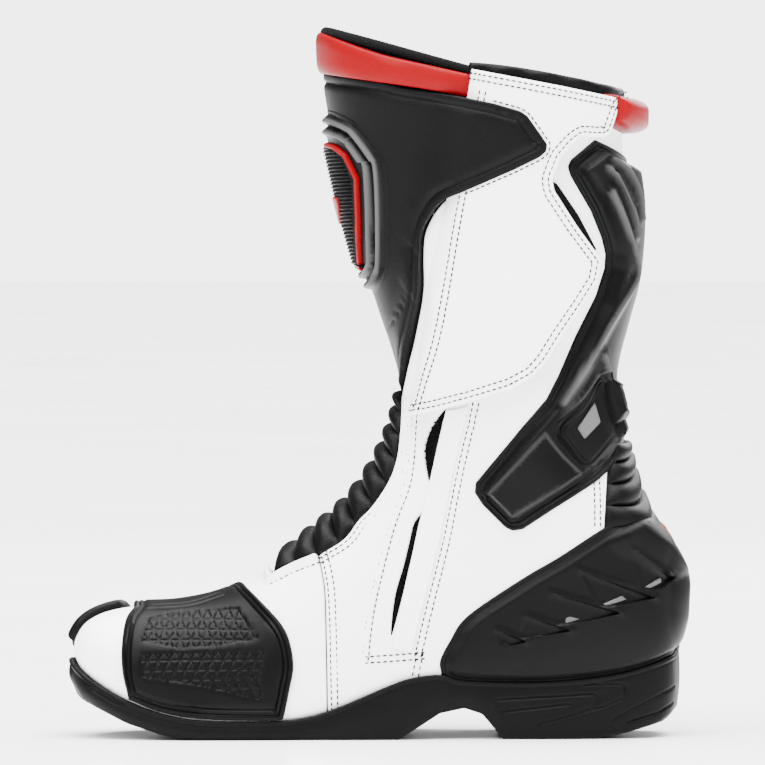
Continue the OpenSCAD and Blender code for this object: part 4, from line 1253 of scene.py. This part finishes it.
def calf_brace():
    """The moulded brace round the calf, with an arm down to each ankle."""
    front = inner(BRACE_FRONT, False)
    front = front[front[:, 1] > SHORT_OF_BACK]
    outline = round_back(np.vstack([[[20.9, -PI]], front]))
    window = inner([(109.3, 173.5), (115.6, 152.5), (103, 139.2), (93.2, 152.3)], False)
    other = behind(window)
    ridges = [inner([(113.5, 269), (120, 254), (125, 238), (126, 229), (122, 219), (112, 199), (101, 180),
                     (92, 166)], lift=6.5),
              inner([(111.5, 189), (114, 181), (120, 155)], False, lift=6)]
    fins = [inner([(112.5, 281), (118.5, 274.5), (123.5, 263), (126.5, 248)], lift=6.5),
            inner([(115, 286), (121.5, 280), (126.5, 270), (129, 256)], lift=6.5)]
    hollow = inner([(111.5, 280), (115.5, 271.5), (120.5, 260)])
    wedge = inner([(82, 150.5), (55.5, 121.5), (66.5, 110), (98.5, 129.5), (90, 139)], False)
    both = [behind(line) for line in ridges + fins]
    full = sizes().armour

    def height(patch, edge):
        h = 1.7 * dome(edge, 1.2)
        h = h - 0.5 * groove(edge - 2.2, 0.6) - 0.5 * groove(edge - 4.4, 0.6)
        h = h + (full - 1.7) * ramp(edge, 5.0, 8.2)
        body = ramp(edge, 5.0, 8.2)
        for line in ridges + both[:2]:
            d = patch.near(line)
            h = h + body * 2.8 * np.maximum(1 - d / 5.0, 0)
        for line in fins + both[2:]:
            d = patch.near(line)
            h = h + body * 2.4 * np.maximum(1 - d / 2.6, 0)
        for line in (hollow, behind(hollow)):
            h = h - 1.9 * body * groove(patch.near(line), 2.2)
        at_back = ramp(-abs(patch.line[:, 1] + PI), -1.1, -0.5) * ramp(patch.line[:, 0], 17.6, 19)
        h = h + 3.0 * at_back * body
        for area in (wedge, behind(wedge)):
            h = h + 0.9 * patch.inside(area) * ramp(patch.near(area, True), 0, 1.0)
        return h
    # Painted highlight: the ridges and fins get the lighter tone, and the edges of the wedge and the window a
    # fainter share of it, standing in for gloss caught on them.
    def highlight_and_wear(patch, edge):
        marks = [1 - ramp(patch.near(line), 0.4, 2.2) for line in ridges + fins + both]
        marks += [0.35 - 0.35 * ramp(patch.near(line, True), 0.3, 1.3) for line in (wedge, window)]
        return 0.8 * np.max(marks, axis=0) * ramp(edge, 5.0, 8.2)
    lines = [(ridges[0], (-2.5, 0, 2.5)), (both[0], (-2.5, 0, 2.5)), (fins[0], (-1.5, 0, 1.5)),
             (fins[1], (-1.5, 0, 1.5)), (both[2], (-1.5, 0, 1.5)), (both[3], (-1.5, 0, 1.5)),
             (ridges[1], (-1.2, 0, 1.2)), (wedge, (0.8, 0, -0.4)), (behind(wedge), (0.8, 0, -0.4))]
    piece = panel("calf_brace", outline, height, finish("armour"), under=0.3, spacing=1.7,
                  rings=(0.3, 0.8, 1.6, 2.2, 2.8, 3.8, 4.4, 5.0, 6.0, 7.2, 8.4), lines=lines,
                  holes=[window, other], sharp=50, tint=highlight_and_wear)
    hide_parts("brace_spine", "brace_arm_medial", "brace_arm_lateral")
    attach(piece, "shaft")


def brace_vents():
    """Silver mesh behind the brace's two windows, on dark plates."""
    for side, name in ((-1, "inner"), (1, "outer")):
        net = inner([(105.6, 165), (97.6, 153), (101, 147.6), (108.4, 155.5)], False)
        net = net if side < 0 else net * [1, -1]
        backing = inner([(109.8, 175.5), (116.6, 152), (103, 137.6), (91.6, 152.3)], False)
        backing = backing if side < 0 else backing * [1, -1]
        plate = panel("vent_backing_" + name, backing, lambda p, e: np.full(len(e), 1.6), finish("armour"),
                      under=0.3, spacing=3)
        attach(plate, "shaft")
        plate = panel("brace_mesh_" + name, net, lambda p, e: 2.2 + 0.5 * dome(e, 1.0), finish("net"),
                      under=1.65, spacing=2)
        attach(plate, "shaft")
        if side < 0:
            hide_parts("brace_vents")


def rear_guard():
    """The rounded guard behind the ankle, at the foot of the brace."""
    def lobe(patch, edge):
        return 0.8 + 7.5 * dome(edge, 12) ** 1.2 + 1.2 * groove(edge - 6, 1.2)
    low = np.array([[16.2, math.radians(a)] for a in range(-198, -161, 3)])
    top = np.array([[17.15, math.radians(a)] for a in range(-164, -197, -3)])
    piece = panel("rear_guard_shell", np.vstack([low, top]), lobe, finish("armour"), under=0.4, spacing=1.8,
                  rings=(0.4, 1.0, 2.0))
    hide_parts("rear_guard")
    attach(piece, "shaft")


def heel_cup():
    """The moulded cup round the heel, with louvred vents."""
    low = inner([(31.5, 32), (44, 28.6), (84, 28), (116, 31.4), (136, 37), (149, 43)])
    top = inner(HEEL_TOP)
    outline = np.vstack([top, [[14.95, -PI]], round_back(top)[len(top):], round_back(low)[len(low):],
                         low[::-1][1:]])
    scoops = [[(124.5, 93.1), (144.1, 78.4), (138.4, 73.6), (129.5, 73.2)],
              [(99.5, 83.9), (135.6, 69.2), (122, 66.8), (109, 64.8)],
              [(86, 72.6), (120.3, 62.5), (100.5, 58), (86.5, 55.8)],
              [(73.2, 61.3), (96.4, 53.9), (79, 50.9), (67.5, 48.9)],
              [(58.5, 54.6), (74.4, 48.5), (66, 46.6), (60, 47.5)]]
    cut_lines = [inner(area + area[:1], False) for area in scoops]

    def height(patch, edge):
        h = 1.6 * dome(edge, 1.2) - 0.5 * groove(edge - 2.4, 0.6)
        h = h + 1.9 * ramp(edge, 3.6, 6.4)
        folded = np.stack([patch.line[:, 0], np.abs(patch.line[:, 1] + PI) - PI], -1)
        same = Patch(folded, patch.scale)
        for (start, end, *_), area in zip(scoops, cut_lines):
            share = np.clip((same.x - start[0]) / (end[0] - start[0]), 0, 1)
            gap = same.near(area, True)
            h = h - same.inside(area) * ramp(gap, 0, 0.8) * (0.3 + 2.3 * share)
            h = h + 0.7 * np.maximum(1 - same.near(inner([start, end], False)) / 2.2, 0)
        crown = same.near(inner([(125, 104), (141, 92), (149, 80), (148, 60)], False))
        return h + 3.2 * np.maximum(1 - crown / 16, 0) * ramp(edge, 4, 9)
    lines = [(twin, (0, 0.8, -0.8)) for line in cut_lines for twin in (line, behind(line))]
    piece = panel("heel_cup_shell", outline, height, finish("armour"), under=0.3, spacing=1.8,
                  rings=(0.3, 0.8, 1.8, 2.4, 3.0, 3.8, 5.0, 6.4), lines=lines, sharp=50)
    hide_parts("heel_cup")
    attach(piece, "foot")


def heel_vents():
    """Silver mesh at the ends of the heel cup's louvres."""
    slots = [[(130.5, 74.8), (138, 79.2), (138.6, 76.8), (133, 74.2)],
             [(110, 66.8), (119.9, 70.8), (122, 69), (112.5, 66)],
             [(88, 57.9), (94.2, 61), (99.3, 59.6), (91.7, 57)],
             [(69, 50.6), (76.4, 53.6), (77.8, 52.6), (70.8, 50.3)]]
    for side, name in ((-1, "inner"), (1, "outer")):
        for k, corners in enumerate(slots):
            area = inner(corners + corners[:1], False)
            area = area if side < 0 else area * [1, -1]
            net = panel("heel_mesh_%s_%d" % (name, k + 1), area, lambda p, e: 2.5 + 0.3 * dome(e, 0.8),
                        finish("net"), under=0.5, spacing=1.5, rings=(0.3,))
            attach(net, "foot")
            if side < 0 and k == 0:
                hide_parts("heel_vents")


def heel_reflector():
    """The small red lens at the back of the heel cup."""
    area = np.array([[14.12, math.radians(-189)], [14.12, math.radians(-171)], [14.5, math.radians(-173)],
                     [14.5, math.radians(-187)]])
    piece = panel("heel_reflector_lens", area, lambda p, e: 3.2 + 1.3 * dome(e, 1.5), finish("reflector"),
                  under=1.5, spacing=1.5, rings=(0.3, 0.8))
    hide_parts("heel_reflector")
    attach(piece, "foot")


def shift_pad():
    """The rubber pad over the toes with triangular tiles."""
    low = inner([(-121.5, 20.5), (-106, 14.5), (-86, 11), (-50, 10.6), (-45.5, 12.5)])
    outline = np.vstack([low, inner(PAD_EDGE)[1:],
                         [[6.6, 0.0], [6.3, 0.3], [5.9, 0.52], [4.9, 0.54], [4.15, 0.52]],
                         [[3.92, 0.25], [3.9, 0.0]], inner(PAD_FRONT)[::-1]])
    upper = inner([(-116, 47), (-112, 57.5), (-99, 60), (-80, 61.5), (-68, 63), (-57, 49.5)], False)
    lower = inner([(-116, 42), (-55, 43.5), (-57.5, 20), (-86.5, 26.5), (-115.5, 31)], False)
    tops = [inner([(-112, 61), (-92, 62.4), (-75, 67.6)]), inner([(-110, 62.6), (-92, 64), (-76, 69)])]
    side = sizes().tile

    def tiles(patch):
        rise = side * 0.866
        x, z = patch.x, patch.z - 0.015 * (patch.x + 86)
        d = np.full(len(x), 9.0)
        for turn in (0.0, 60.0, 120.0):
            a = math.radians(turn)
            across = -math.sin(a) * (x + 86) + math.cos(a) * (z - 48)
            d = np.minimum(d, abs((across / rise + 0.5) % 1.0 - 0.5) * rise)
        return groove(d, 0.55)

    def height(patch, edge):
        h = 0.4 + 2.6 * dome(edge, 1.6)
        h = h - 1.0 * groove(edge - 2.8, 0.8) - 0.9 * groove(edge - 5.2, 0.8)
        for area in (upper, lower):
            gap = patch.near(area, True)
            inside = patch.inside(area)
            h = h - 0.45 * tiles(patch) * inside * ramp(gap, 0.1, 0.5) - 0.35 * inside * ramp(gap, 0, 0.5)
        for line in tops:
            h = h - 0.7 * groove(patch.near(line), 0.8)
        return h
    lines = [(line, (-0.8, 0, 0.8)) for line in tops]
    piece = panel("shift_pad_rubber", outline, height, finish("pad"), under=0.3, spacing=1.8,
                  rings=(0.3, 0.8, 1.5, 2.2, 2.8, 3.4, 4.5, 5.2, 5.9), lines=lines,
                  dense=[(upper, 0.55), (lower, 0.55)], sharp=50)
    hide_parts("shift_pad")
    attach(piece, "foot")


def toe_slider():
    """The replaceable slider at the outer side of the toe, with wells for its two screws."""
    top = bend([(0.35, -0.1), (0.8, -0.14), (1.4, -0.1), (2.0, -0.05), (3.0, -0.03), (3.6, 0.1), (3.95, 0.9)])
    low = outer([(-148, 43), (-139, 35.5), (-121, 29), (-96, 28)])
    outline = np.vstack([top, low[::-1]])

    def height(patch, edge):
        h = 0.8 + 3.8 * dome(edge, 2.6) - 0.6 * groove(edge - 5.5, 0.8)
        for x in (-132, -110):
            spot = surface(locate([(x, 43)], 1))[0]
            d = np.linalg.norm(patch.base - spot, axis=1)
            h = h - 1.2 * (1 - ramp(d, 3.6, 4.2))
        return h
    piece = panel("toe_slider_block", outline, height, finish("armour"), under=0.3, spacing=1.2,
                  rings=(0.4, 1.0, 2.0, 3.0, 4.6, 5.5, 6.4))
    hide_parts("toe_slider")
    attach(piece, "foot")


def shin_guard():
    """The moulded guard on the shin: two ridges round a red frame with a ribbed insert."""
    half = inner([(-4.5, 219.5), (-1, 219), (4, 227), (5.5, 238), (5.5, 262), (4.5, 281), (1.5, 289),
                  (-8, 301.5), (-14, 306), (-21, 309.3)], True, 1.0)
    outline = np.vstack([half, mirrored(half)])
    frame_line = inner([(-6, 229.5), (-8.2, 233), (-8.5, 240), (-9, 256), (-9.6, 276), (-15.5, 288),
                        (-21, 292.5)],
                       False, 5.0)
    red_ring = np.vstack([frame_line, mirrored(frame_line)])

    def ridge(edge):
        return np.maximum(groove(edge - 5.2, 2.5), groove(edge - 10.6, 2.3))

    def height(patch, edge):
        h = 1.0 * dome(edge, 0.8) + 3.6 * ridge(edge)
        return h + 1.0 * ramp(edge, 5.2, 7.5) + 1.6 * ramp(edge, 10.6, 12.5)
    # Painted highlight: the tops of the two ridges, from about 222-232 mm up, get the lighter tone, standing
    # in for light caught on them.
    piece = panel("shin_guard_shell", outline, height, finish("armour"), under=0.3, spacing=1.7,
                  rings=(0.3, 0.8, 1.6, 2.6, 3.4, 4.2, 5.2, 6.2, 7.0, 7.8, 8.6, 9.6, 10.6, 11.6, 12.6, 13.6),
                  sharp=60, tint=lambda patch, edge: ramp(ridge(edge), 0.45, 0.8) * ramp(patch.z, 222, 232))
    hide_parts("shin_guard")
    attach(piece, "shaft")
    piece = panel("shin_guard_ring", red_ring, lambda p, e: 4.4 + 1.6 * dome(e, 0.9), finish("red_plastic"),
                  under=2.0, spacing=1.6, rings=(0.3, 0.8))
    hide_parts("shin_guard_frame")
    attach(piece, "shaft")
    face_line = inner([(-7.5, 231.5), (-9.8, 234), (-10, 240), (-10.5, 257), (-11.2, 275.5), (-16.6, 286.5),
                       (-22, 290.7)],
                      False, 6.0)
    face = np.vstack([face_line, mirrored(face_line)])

    def ribbed(patch, edge):
        return 5.0 + 1.6 * dome(edge, 1.2) + 0.55 * np.cos(2 * PI * patch.z / 1.75) * ramp(edge, 0.6, 1.6)
    piece = panel("shin_guard_ribs", face, ribbed, finish("insert"), under=2.5, spacing=0.62,
                  rings=(0.3, 0.8))
    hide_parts("shin_guard_insert")
    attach(piece, "shaft")
    bar = inner([(-13, 268), (-12, 262), (-12, 252), (-13.5, 246)])
    band = np.vstack([bar, mirrored(bar)])
    piece = panel("shin_guard_bar", band, lambda p, e: 6.8 + 0.9 * dome(e, 0.8), finish("red_plastic"),
                  under=5.0, spacing=1.4, rings=(0.3, 0.8))
    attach(piece, "shaft")


def outer_guard():
    """The moulded calf guard on the outer side."""
    outline = outer([(41, 302), (35, 262), (42, 224), (60, 214), (78, 226), (94, 254), (92, 290), (70, 300)])

    def height(patch, edge):
        h = 1.2 * dome(edge, 1.0) - 0.4 * groove(edge - 2.4, 0.6) + 2.6 * ramp(edge, 4.2, 9)
        for k in range(4):
            line = outer([(50 + k * 3, 236 + k * 15), (66 + k * 2, 232 + k * 15), (80 + k, 244 + k * 13)])
            h = h - 1.0 * groove(patch.near(line), 1.5) * ramp(edge, 6, 9)
        return h
    piece = panel("outer_guard_shell", outline, height, finish("armour"), under=0.3, spacing=1.7,
                  rings=(0.3, 0.8, 1.8, 2.4, 3.0, 4.4, 6.2))
    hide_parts("lateral_guard")
    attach(piece, "shaft")


# ---------------------------------------------------------------- sole

SOLE_LIP = [(0.5, -3.5), (0.5, -0.4), (1.0, 0.0), (2.9, 0.0), (3.5, -0.6), (3.5, -1.8), (2.9, -2.3),
            (2.9, -2.9)]
SOLE_CUTS = [[(55.4, 26.5), (120, 27), (122.7, 26), (121.5, 20), (111.7, 15.9), (79.9, 7.4)],
             [(59, 19.5), (107.5, 22.2), (108.6, 20.5), (106.8, 15.9), (99.5, 13.5)],
             [(61.5, 13.5), (96, 17.4)], [(151.4, 27), (134, 18.5), (116.6, 9.8)],
             [(152, 19.5), (139, 12.5), (124, 8)], [(-142, 31), (-130, 24.5), (-120, 19)],
             [(-140, 24), (-128, 17.5)]]
WALL_RINGS = 40


def sole_depth(x):
    """The height of the sole's underside."""
    return np.interp(x, *np.array(SOLE_UNDER).T)


def carved(spots):
    """How deep the side wall's grooves are at side-view spots, 1 at their deepest."""
    depth = np.zeros(len(spots))
    for cut in SOLE_CUTS:
        place, _ = nearest(spots, np.array(cut))
        depth = np.maximum(depth, groove(np.linalg.norm(place - spots, axis=1), 0.9))
    return depth


def sole_wall(places, out):
    """Rings of points from inside the seat, over the lip and down the side to the tread."""
    wall_x = (places + out * 3.5)[:, 0]
    low, high = sole_depth(wall_x), places[:, 2]

    def ring(reach, z):
        return np.column_stack([(places + out * reach)[:, :2], z])
    rings = [ring(reach, high + drop) for reach, drop in SOLE_LIP]
    for k in range(WALL_RINGS):
        t = k / (WALL_RINGS - 1)
        z = (high - 3.4) * (1 - t) + (low + 1.2) * t
        reach = 3.1 + 0.5 * math.sin(PI * t) - 0.9 * t ** 3
        cut = carved(np.column_stack([wall_x, z])) * (abs(out[:, 1]) > 0.25)
        rings.append(ring((reach - 0.9 * cut)[:, None], z))
    return rings + [ring(1.5, low)]


def tread(rim, start):
    """The lugged underside inside a rim whose points end at start: new points, and faces."""
    n = len(rim)
    x, y = np.meshgrid(np.arange(-152, 152, 1.7), np.arange(-50, 50, 1.5))
    x[1::2] += 0.85
    cells = np.stack([x.ravel(), y.ravel()], -1)
    cells = cells[within(cells, rim)]
    place, _ = nearest(cells, rim, True)
    cells = cells[np.linalg.norm(place - cells, axis=1) > 1.3]
    found = delaunay_2d_cdt([Vector(p) for p in np.vstack([rim, cells])],
                            [(i, (i + 1) % n) for i in range(n)], [list(range(n))], 1, 1e-6)
    spots = np.array([tuple(p) for p in found[0]])
    x, y = spots.T
    place, _ = nearest(spots, rim, True)
    inset = np.linalg.norm(place - spots, axis=1)
    bars = groove((x + 0.35 * abs(y)) % 15 - 7.5, 1.5)
    middle = groove(y, 1.3) * ramp(-x, -8, 0)
    arch = groove(x - 33, 24)
    z = sole_depth(x) + 1.7 * np.clip(bars + middle, 0, 1) * ramp(inset, 4, 6) * (1 - arch)
    number, added = {}, []
    for i, p in enumerate(spots):
        if inset[i] < 0.05:
            number[i] = start - n + int(((rim - p) ** 2).sum(1).argmin())
        else:
            number[i] = start + len(added)
            added.append((p[0], p[1], z[i]))
    faces = []
    for f in found[2]:
        a, b, c = (spots[i] for i in f[:3])
        turned = (b[0] - a[0]) * (c[1] - a[1]) - (b[1] - a[1]) * (c[0] - a[0]) > 0
        face = tuple(number[i] for i in f)
        faces.append(face[::-1] if turned else face)
    return added, faces


def sole():
    """The rubber outsole: lipped side wall, arch, heel block and lugged tread."""
    seat = even(inner(FEATHER), 1.1)
    seat = np.vstack([seat[seat[:, 1] > -3.08], [[seat[-1, 0], -PI]]])
    ring = np.vstack([seat, round_back(seat[1:-1])[len(seat) - 2:]])
    n = len(ring)
    out = outward(ring)
    out[:, 2] = 0
    out /= np.linalg.norm(out, axis=1, keepdims=True)
    rings = sole_wall(surface(ring), out)
    points = np.vstack(rings)
    faces = []
    for k in range(len(rings) - 1):
        for i in range(n):
            j = (i + 1) % n
            faces.append((k * n + i, (k + 1) * n + i, (k + 1) * n + j, k * n + j))
    added, under_faces = tread(rings[-1][:, :2], len(points))
    # the seat's floor, closed across from the inner to the outer side
    across = [(i, i + 1, (n - i - 1) % n, n - i) if i else (0, 1, n - 1) for i in range(len(seat) - 1)]
    piece = new_piece("sole_rubber", np.vstack([points, added]), faces + under_faces + across, finish("sole"),
                      sharp=55)
    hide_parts("outsole")
    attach(piece, "foot")


# ---------------------------------------------------------------- hardware kept from the frame

def dress(node, material):
    """Gives a node of the frame one of the boot's finishes."""
    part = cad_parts[node]
    part.data.materials.clear()
    part.data.materials.append(finish(material))


# ---------------------------------------------------------------- operators

class BOOT_OT_finishes(bpy.types.Operator):
    """Make every material of the boot"""
    bl_idname = "boot.finishes"
    bl_label = "Materials"

    def execute(self, context):
        c = colours()
        dull = {"Specular_IOR_Level": 0.05}
        FINISHES.update({
            "white": leather("white_leather", tuple(c.white), 0.42, depth=0.00008, crease=0.0011),
            "black": leather("black_leather", tuple(c.black), 0.45, depth=0.00008, crease=0.0003, **dull),
            "gusset": leather("gusset_leather", tuple(c.black), 0.42, grain=0.001, depth=0.00012,
                              crease=0.0005, **dull),
            "red": leather("red_leather", tuple(c.red), 0.36, depth=0.00005, crease=0.0003, **dull),
            "armour": moulded("armour_plastic", tuple(c.armour), 0.40, **dull),
            "sole": moulded("sole_compound", tuple(c.rubber), 0.50, grain=0.0008, depth=0.00006, **dull),
            "pad": moulded("pad_compound", tuple(c.rubber), 0.42, **dull),
            "insert": moulded("insert_compound", tuple(c.rubber), 0.38, **dull),
            "red_plastic": moulded("red_plastic", tuple(c.red), 0.35, light=tuple(c.red), **dull),
            "cloth": woven("lining_cloth", tuple(c.cloth), 0.8, **dull),
            "zip_cloth": woven("zip_cloth", tuple(c.cloth), 0.7, pitch=0.0008, **dull),
            "hook": woven("hook_cloth", tuple(c.cloth), 0.85, pitch=0.0016, depth=0.0006, **dull),
            "board": moulded("fibre_board", (0.25, 0.19, 0.14), 0.8),
            "net": wire_mesh("silver_net", tuple(c.silver)),
            "metal": metal("zip_metal", (0.45, 0.46, 0.48), 0.32),
            "steel": metal("screw_steel", (0.55, 0.56, 0.58), 0.28),
            "reflector": reflector("red_reflector", tuple(c.red)),
            "thread": thread("dark_thread", (0.004, 0.004, 0.0045)),
            "black_thread": thread("black_thread", (0.004, 0.004, 0.0045)),
        })
        TREES["stitch"] = stitch_tree()
        TREES["teeth"] = teeth_tree()
        return {"FINISHED"}


class BOOT_OT_leather(bpy.types.Operator):
    """Make the white leather of the toe, the ankle and the calf, with its stitching"""
    bl_idname = "boot.leather"
    bl_label = "White Leather"

    def execute(self, context):
        toe_rows = toe_leather()
        inner_rows, outer_rows = ankle_leather()
        rows = toe_rows + inner_rows + outer_rows + zip_guard()
        across_ankle(stitches("upper_stitches", rows, "thread", lambda path: 0.02))
        return {"FINISHED"}


class BOOT_OT_closure(bpy.types.Operator):
    """Make the closure flap and the shin panel that lies over it"""
    bl_idname = "boot.closure"
    bl_label = "Closure"

    def execute(self, context):
        rows = closure()
        fastener()
        on_hinge(stitches("flap_stitches", rows, "thread", over_flap))
        on_hinge(stitches("wing_stitches", shin_leather(), "black_thread", over_flap))
        return {"FINISHED"}


class BOOT_OT_gussets(bpy.types.Operator):
    """Make the ribbed gussets at the ankle"""
    bl_idname = "boot.gussets"
    bl_label = "Ribbed Gussets"

    def execute(self, context):
        gussets()
        return {"FINISHED"}


class BOOT_OT_collar(bpy.types.Operator):
    """Make the padded collar and the rim of the lining"""
    bl_idname = "boot.collar"
    bl_label = "Collar"

    def execute(self, context):
        collar_pads()
        rim_roll()
        collar_gusset()
        return {"FINISHED"}


class BOOT_OT_armour(bpy.types.Operator):
    """Make the moulded armour"""
    bl_idname = "boot.armour"
    bl_label = "Armour"

    def execute(self, context):
        for make in (calf_brace, brace_vents, rear_guard, heel_cup, heel_vents, heel_reflector, shift_pad,
                     toe_slider, shin_guard, outer_guard):
            make()
        return {"FINISHED"}


class BOOT_OT_sole(bpy.types.Operator):
    """Make the rubber sole"""
    bl_idname = "boot.sole"
    bl_label = "Sole"

    def execute(self, context):
        sole()
        return {"FINISHED"}


class BOOT_OT_hardware(bpy.types.Operator):
    """Give the parts kept from the frame their finishes"""
    bl_idname = "boot.hardware"
    bl_label = "Hardware"

    def execute(self, context):
        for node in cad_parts:
            if "lining" in node:
                dress(node, "cloth")
        for node, material in (("footbed", "cloth"), ("insole_board", "board"), ("zip_tape", "zip_cloth"),
                               ("zip_chain", "metal"), ("zip_stops", "metal"), ("zip_slider", "metal"),
                               ("zip_puller", "black"),
                               ("toe_slider_screw_1", "steel"), ("toe_slider_screw_2", "steel")):
            dress(node, material)
        return {"FINISHED"}


FLOOR_REACH = 40.0
LIGHTS = (("key", (-1.3, -1.7, 1.5), 70, 0.9), ("fill", (1.7, -1.0, 0.9), 18, 0.9),
          ("back", (0.9, 1.7, 1.2), 50, 1.2), ("sky", (0.1, -0.3, 3.0), 25, 0))   # name, place, power, size
BACKDROP, SURROUNDINGS = 4.6, 0.5   # the world's strength as the camera and as the boot see it


def lay_floor():
    """A wide pale sheet under the boot."""
    ground = Finish("floor_paper", (0.97, 0.97, 0.97), 0.35, Specular_IOR_Level=0.08)
    ground.feed("Roughness", 0.16 + ground.noise(3.0, 2.0) * 0.06)
    mesh = bpy.data.meshes.new("floor")
    r = FLOOR_REACH
    mesh.from_pydata([(-r, -r, 0), (r, -r, 0), (r, r, 0), (-r, r, 0)], [], [(0, 1, 2, 3)])
    mesh.materials.append(ground.material)
    floor = bpy.data.objects.new("floor", mesh)
    bpy.context.scene.collection.objects.link(floor)


def hang_backdrop():
    """A white world, brighter behind the boot than it shines on it."""
    world = bpy.data.worlds.new("studio")
    world.use_nodes = True
    tree = world.node_tree
    seen = tree.nodes["Background"]
    seen.inputs[0].default_value = (1, 1, 1, 1)
    ray = tree.nodes.new("ShaderNodeLightPath")
    power = tree.nodes.new("ShaderNodeMapRange")
    power.inputs["To Min"].default_value = SURROUNDINGS
    power.inputs["To Max"].default_value = BACKDROP
    tree.links.new(ray.outputs["Is Camera Ray"], power.inputs["Value"])
    tree.links.new(power.outputs["Result"], seen.inputs[1])
    bpy.context.scene.world = world


def place_lights():
    """Three soft panels and a broad overhead light, all aimed at the boot."""
    for name, place, power, width in LIGHTS:
        light = bpy.data.lights.new(name, "AREA" if width else "SUN")
        light.energy = power
        if width:
            light.size = width
        else:
            light.angle = math.radians(70)
        lamp = bpy.data.objects.new(name, light)
        lamp.location = place
        lamp.rotation_euler = (Vector((0, 0, 0.16)) - Vector(place)).to_track_quat("-Z", "Y").to_euler()
        bpy.context.scene.collection.objects.link(lamp)


def place_camera():
    """A long lens square to the inner side, a little above it."""
    lens = bpy.data.cameras.new("camera")
    camera = bpy.data.objects.new("camera", lens)
    aim, distance, rise = Vector((0.0027, -0.03, 0.1755)), 4.0, math.radians(1.2)
    lens.sensor_width = 36
    lens.lens = 36 * (distance - 0.02) / 0.3749
    lens.clip_end = 30
    camera.location = aim + distance * Vector((0, -math.cos(rise), math.sin(rise)))
    camera.rotation_euler = (aim - camera.location).to_track_quat("-Z", "Y").to_euler()
    bpy.context.scene.collection.objects.link(camera)
    bpy.context.scene.camera = camera


class BOOT_OT_stage(bpy.types.Operator):
    """Set up the floor, the lights and the camera"""
    bl_idname = "boot.stage"
    bl_label = "Stage"

    def execute(self, context):
        lay_floor()
        hang_backdrop()
        place_lights()
        place_camera()
        return {"FINISHED"}


OPERATORS = (BOOT_OT_finishes, BOOT_OT_sole, BOOT_OT_leather, BOOT_OT_closure, BOOT_OT_gussets,
             BOOT_OT_collar, BOOT_OT_armour, BOOT_OT_hardware, BOOT_OT_stage)


class BOOT_PT_panel(bpy.types.Panel):
    """Lists the boot's pieces and settings"""
    bl_label = "Riding Boot"
    bl_idname = "BOOT_PT_panel"
    bl_space_type = "VIEW_3D"
    bl_region_type = "UI"
    bl_category = "Boot"

    def draw(self, context):
        for group in (context.scene.boot_colours, context.scene.boot_sizes):
            box = self.layout.box()
            for key in group.__annotations__:
                box.prop(group, key)
        for made in OPERATORS:
            self.layout.operator(made.bl_idname)


CLASSES = (BootColours, BootSizes, *OPERATORS, BOOT_PT_panel)


def register():
    for made in CLASSES:
        bpy.utils.register_class(made)
    bpy.types.Scene.boot_colours = bpy.props.PointerProperty(type=BootColours)
    bpy.types.Scene.boot_sizes = bpy.props.PointerProperty(type=BootSizes)


def unregister():
    del bpy.types.Scene.boot_sizes
    del bpy.types.Scene.boot_colours
    for made in reversed(CLASSES):
        bpy.utils.unregister_class(made)


def main():
    register()
    for made in OPERATORS:
        group, name = made.bl_idname.split(".")
        getattr(getattr(bpy.ops, group), name)()


if __name__ == "__main__":
    main()
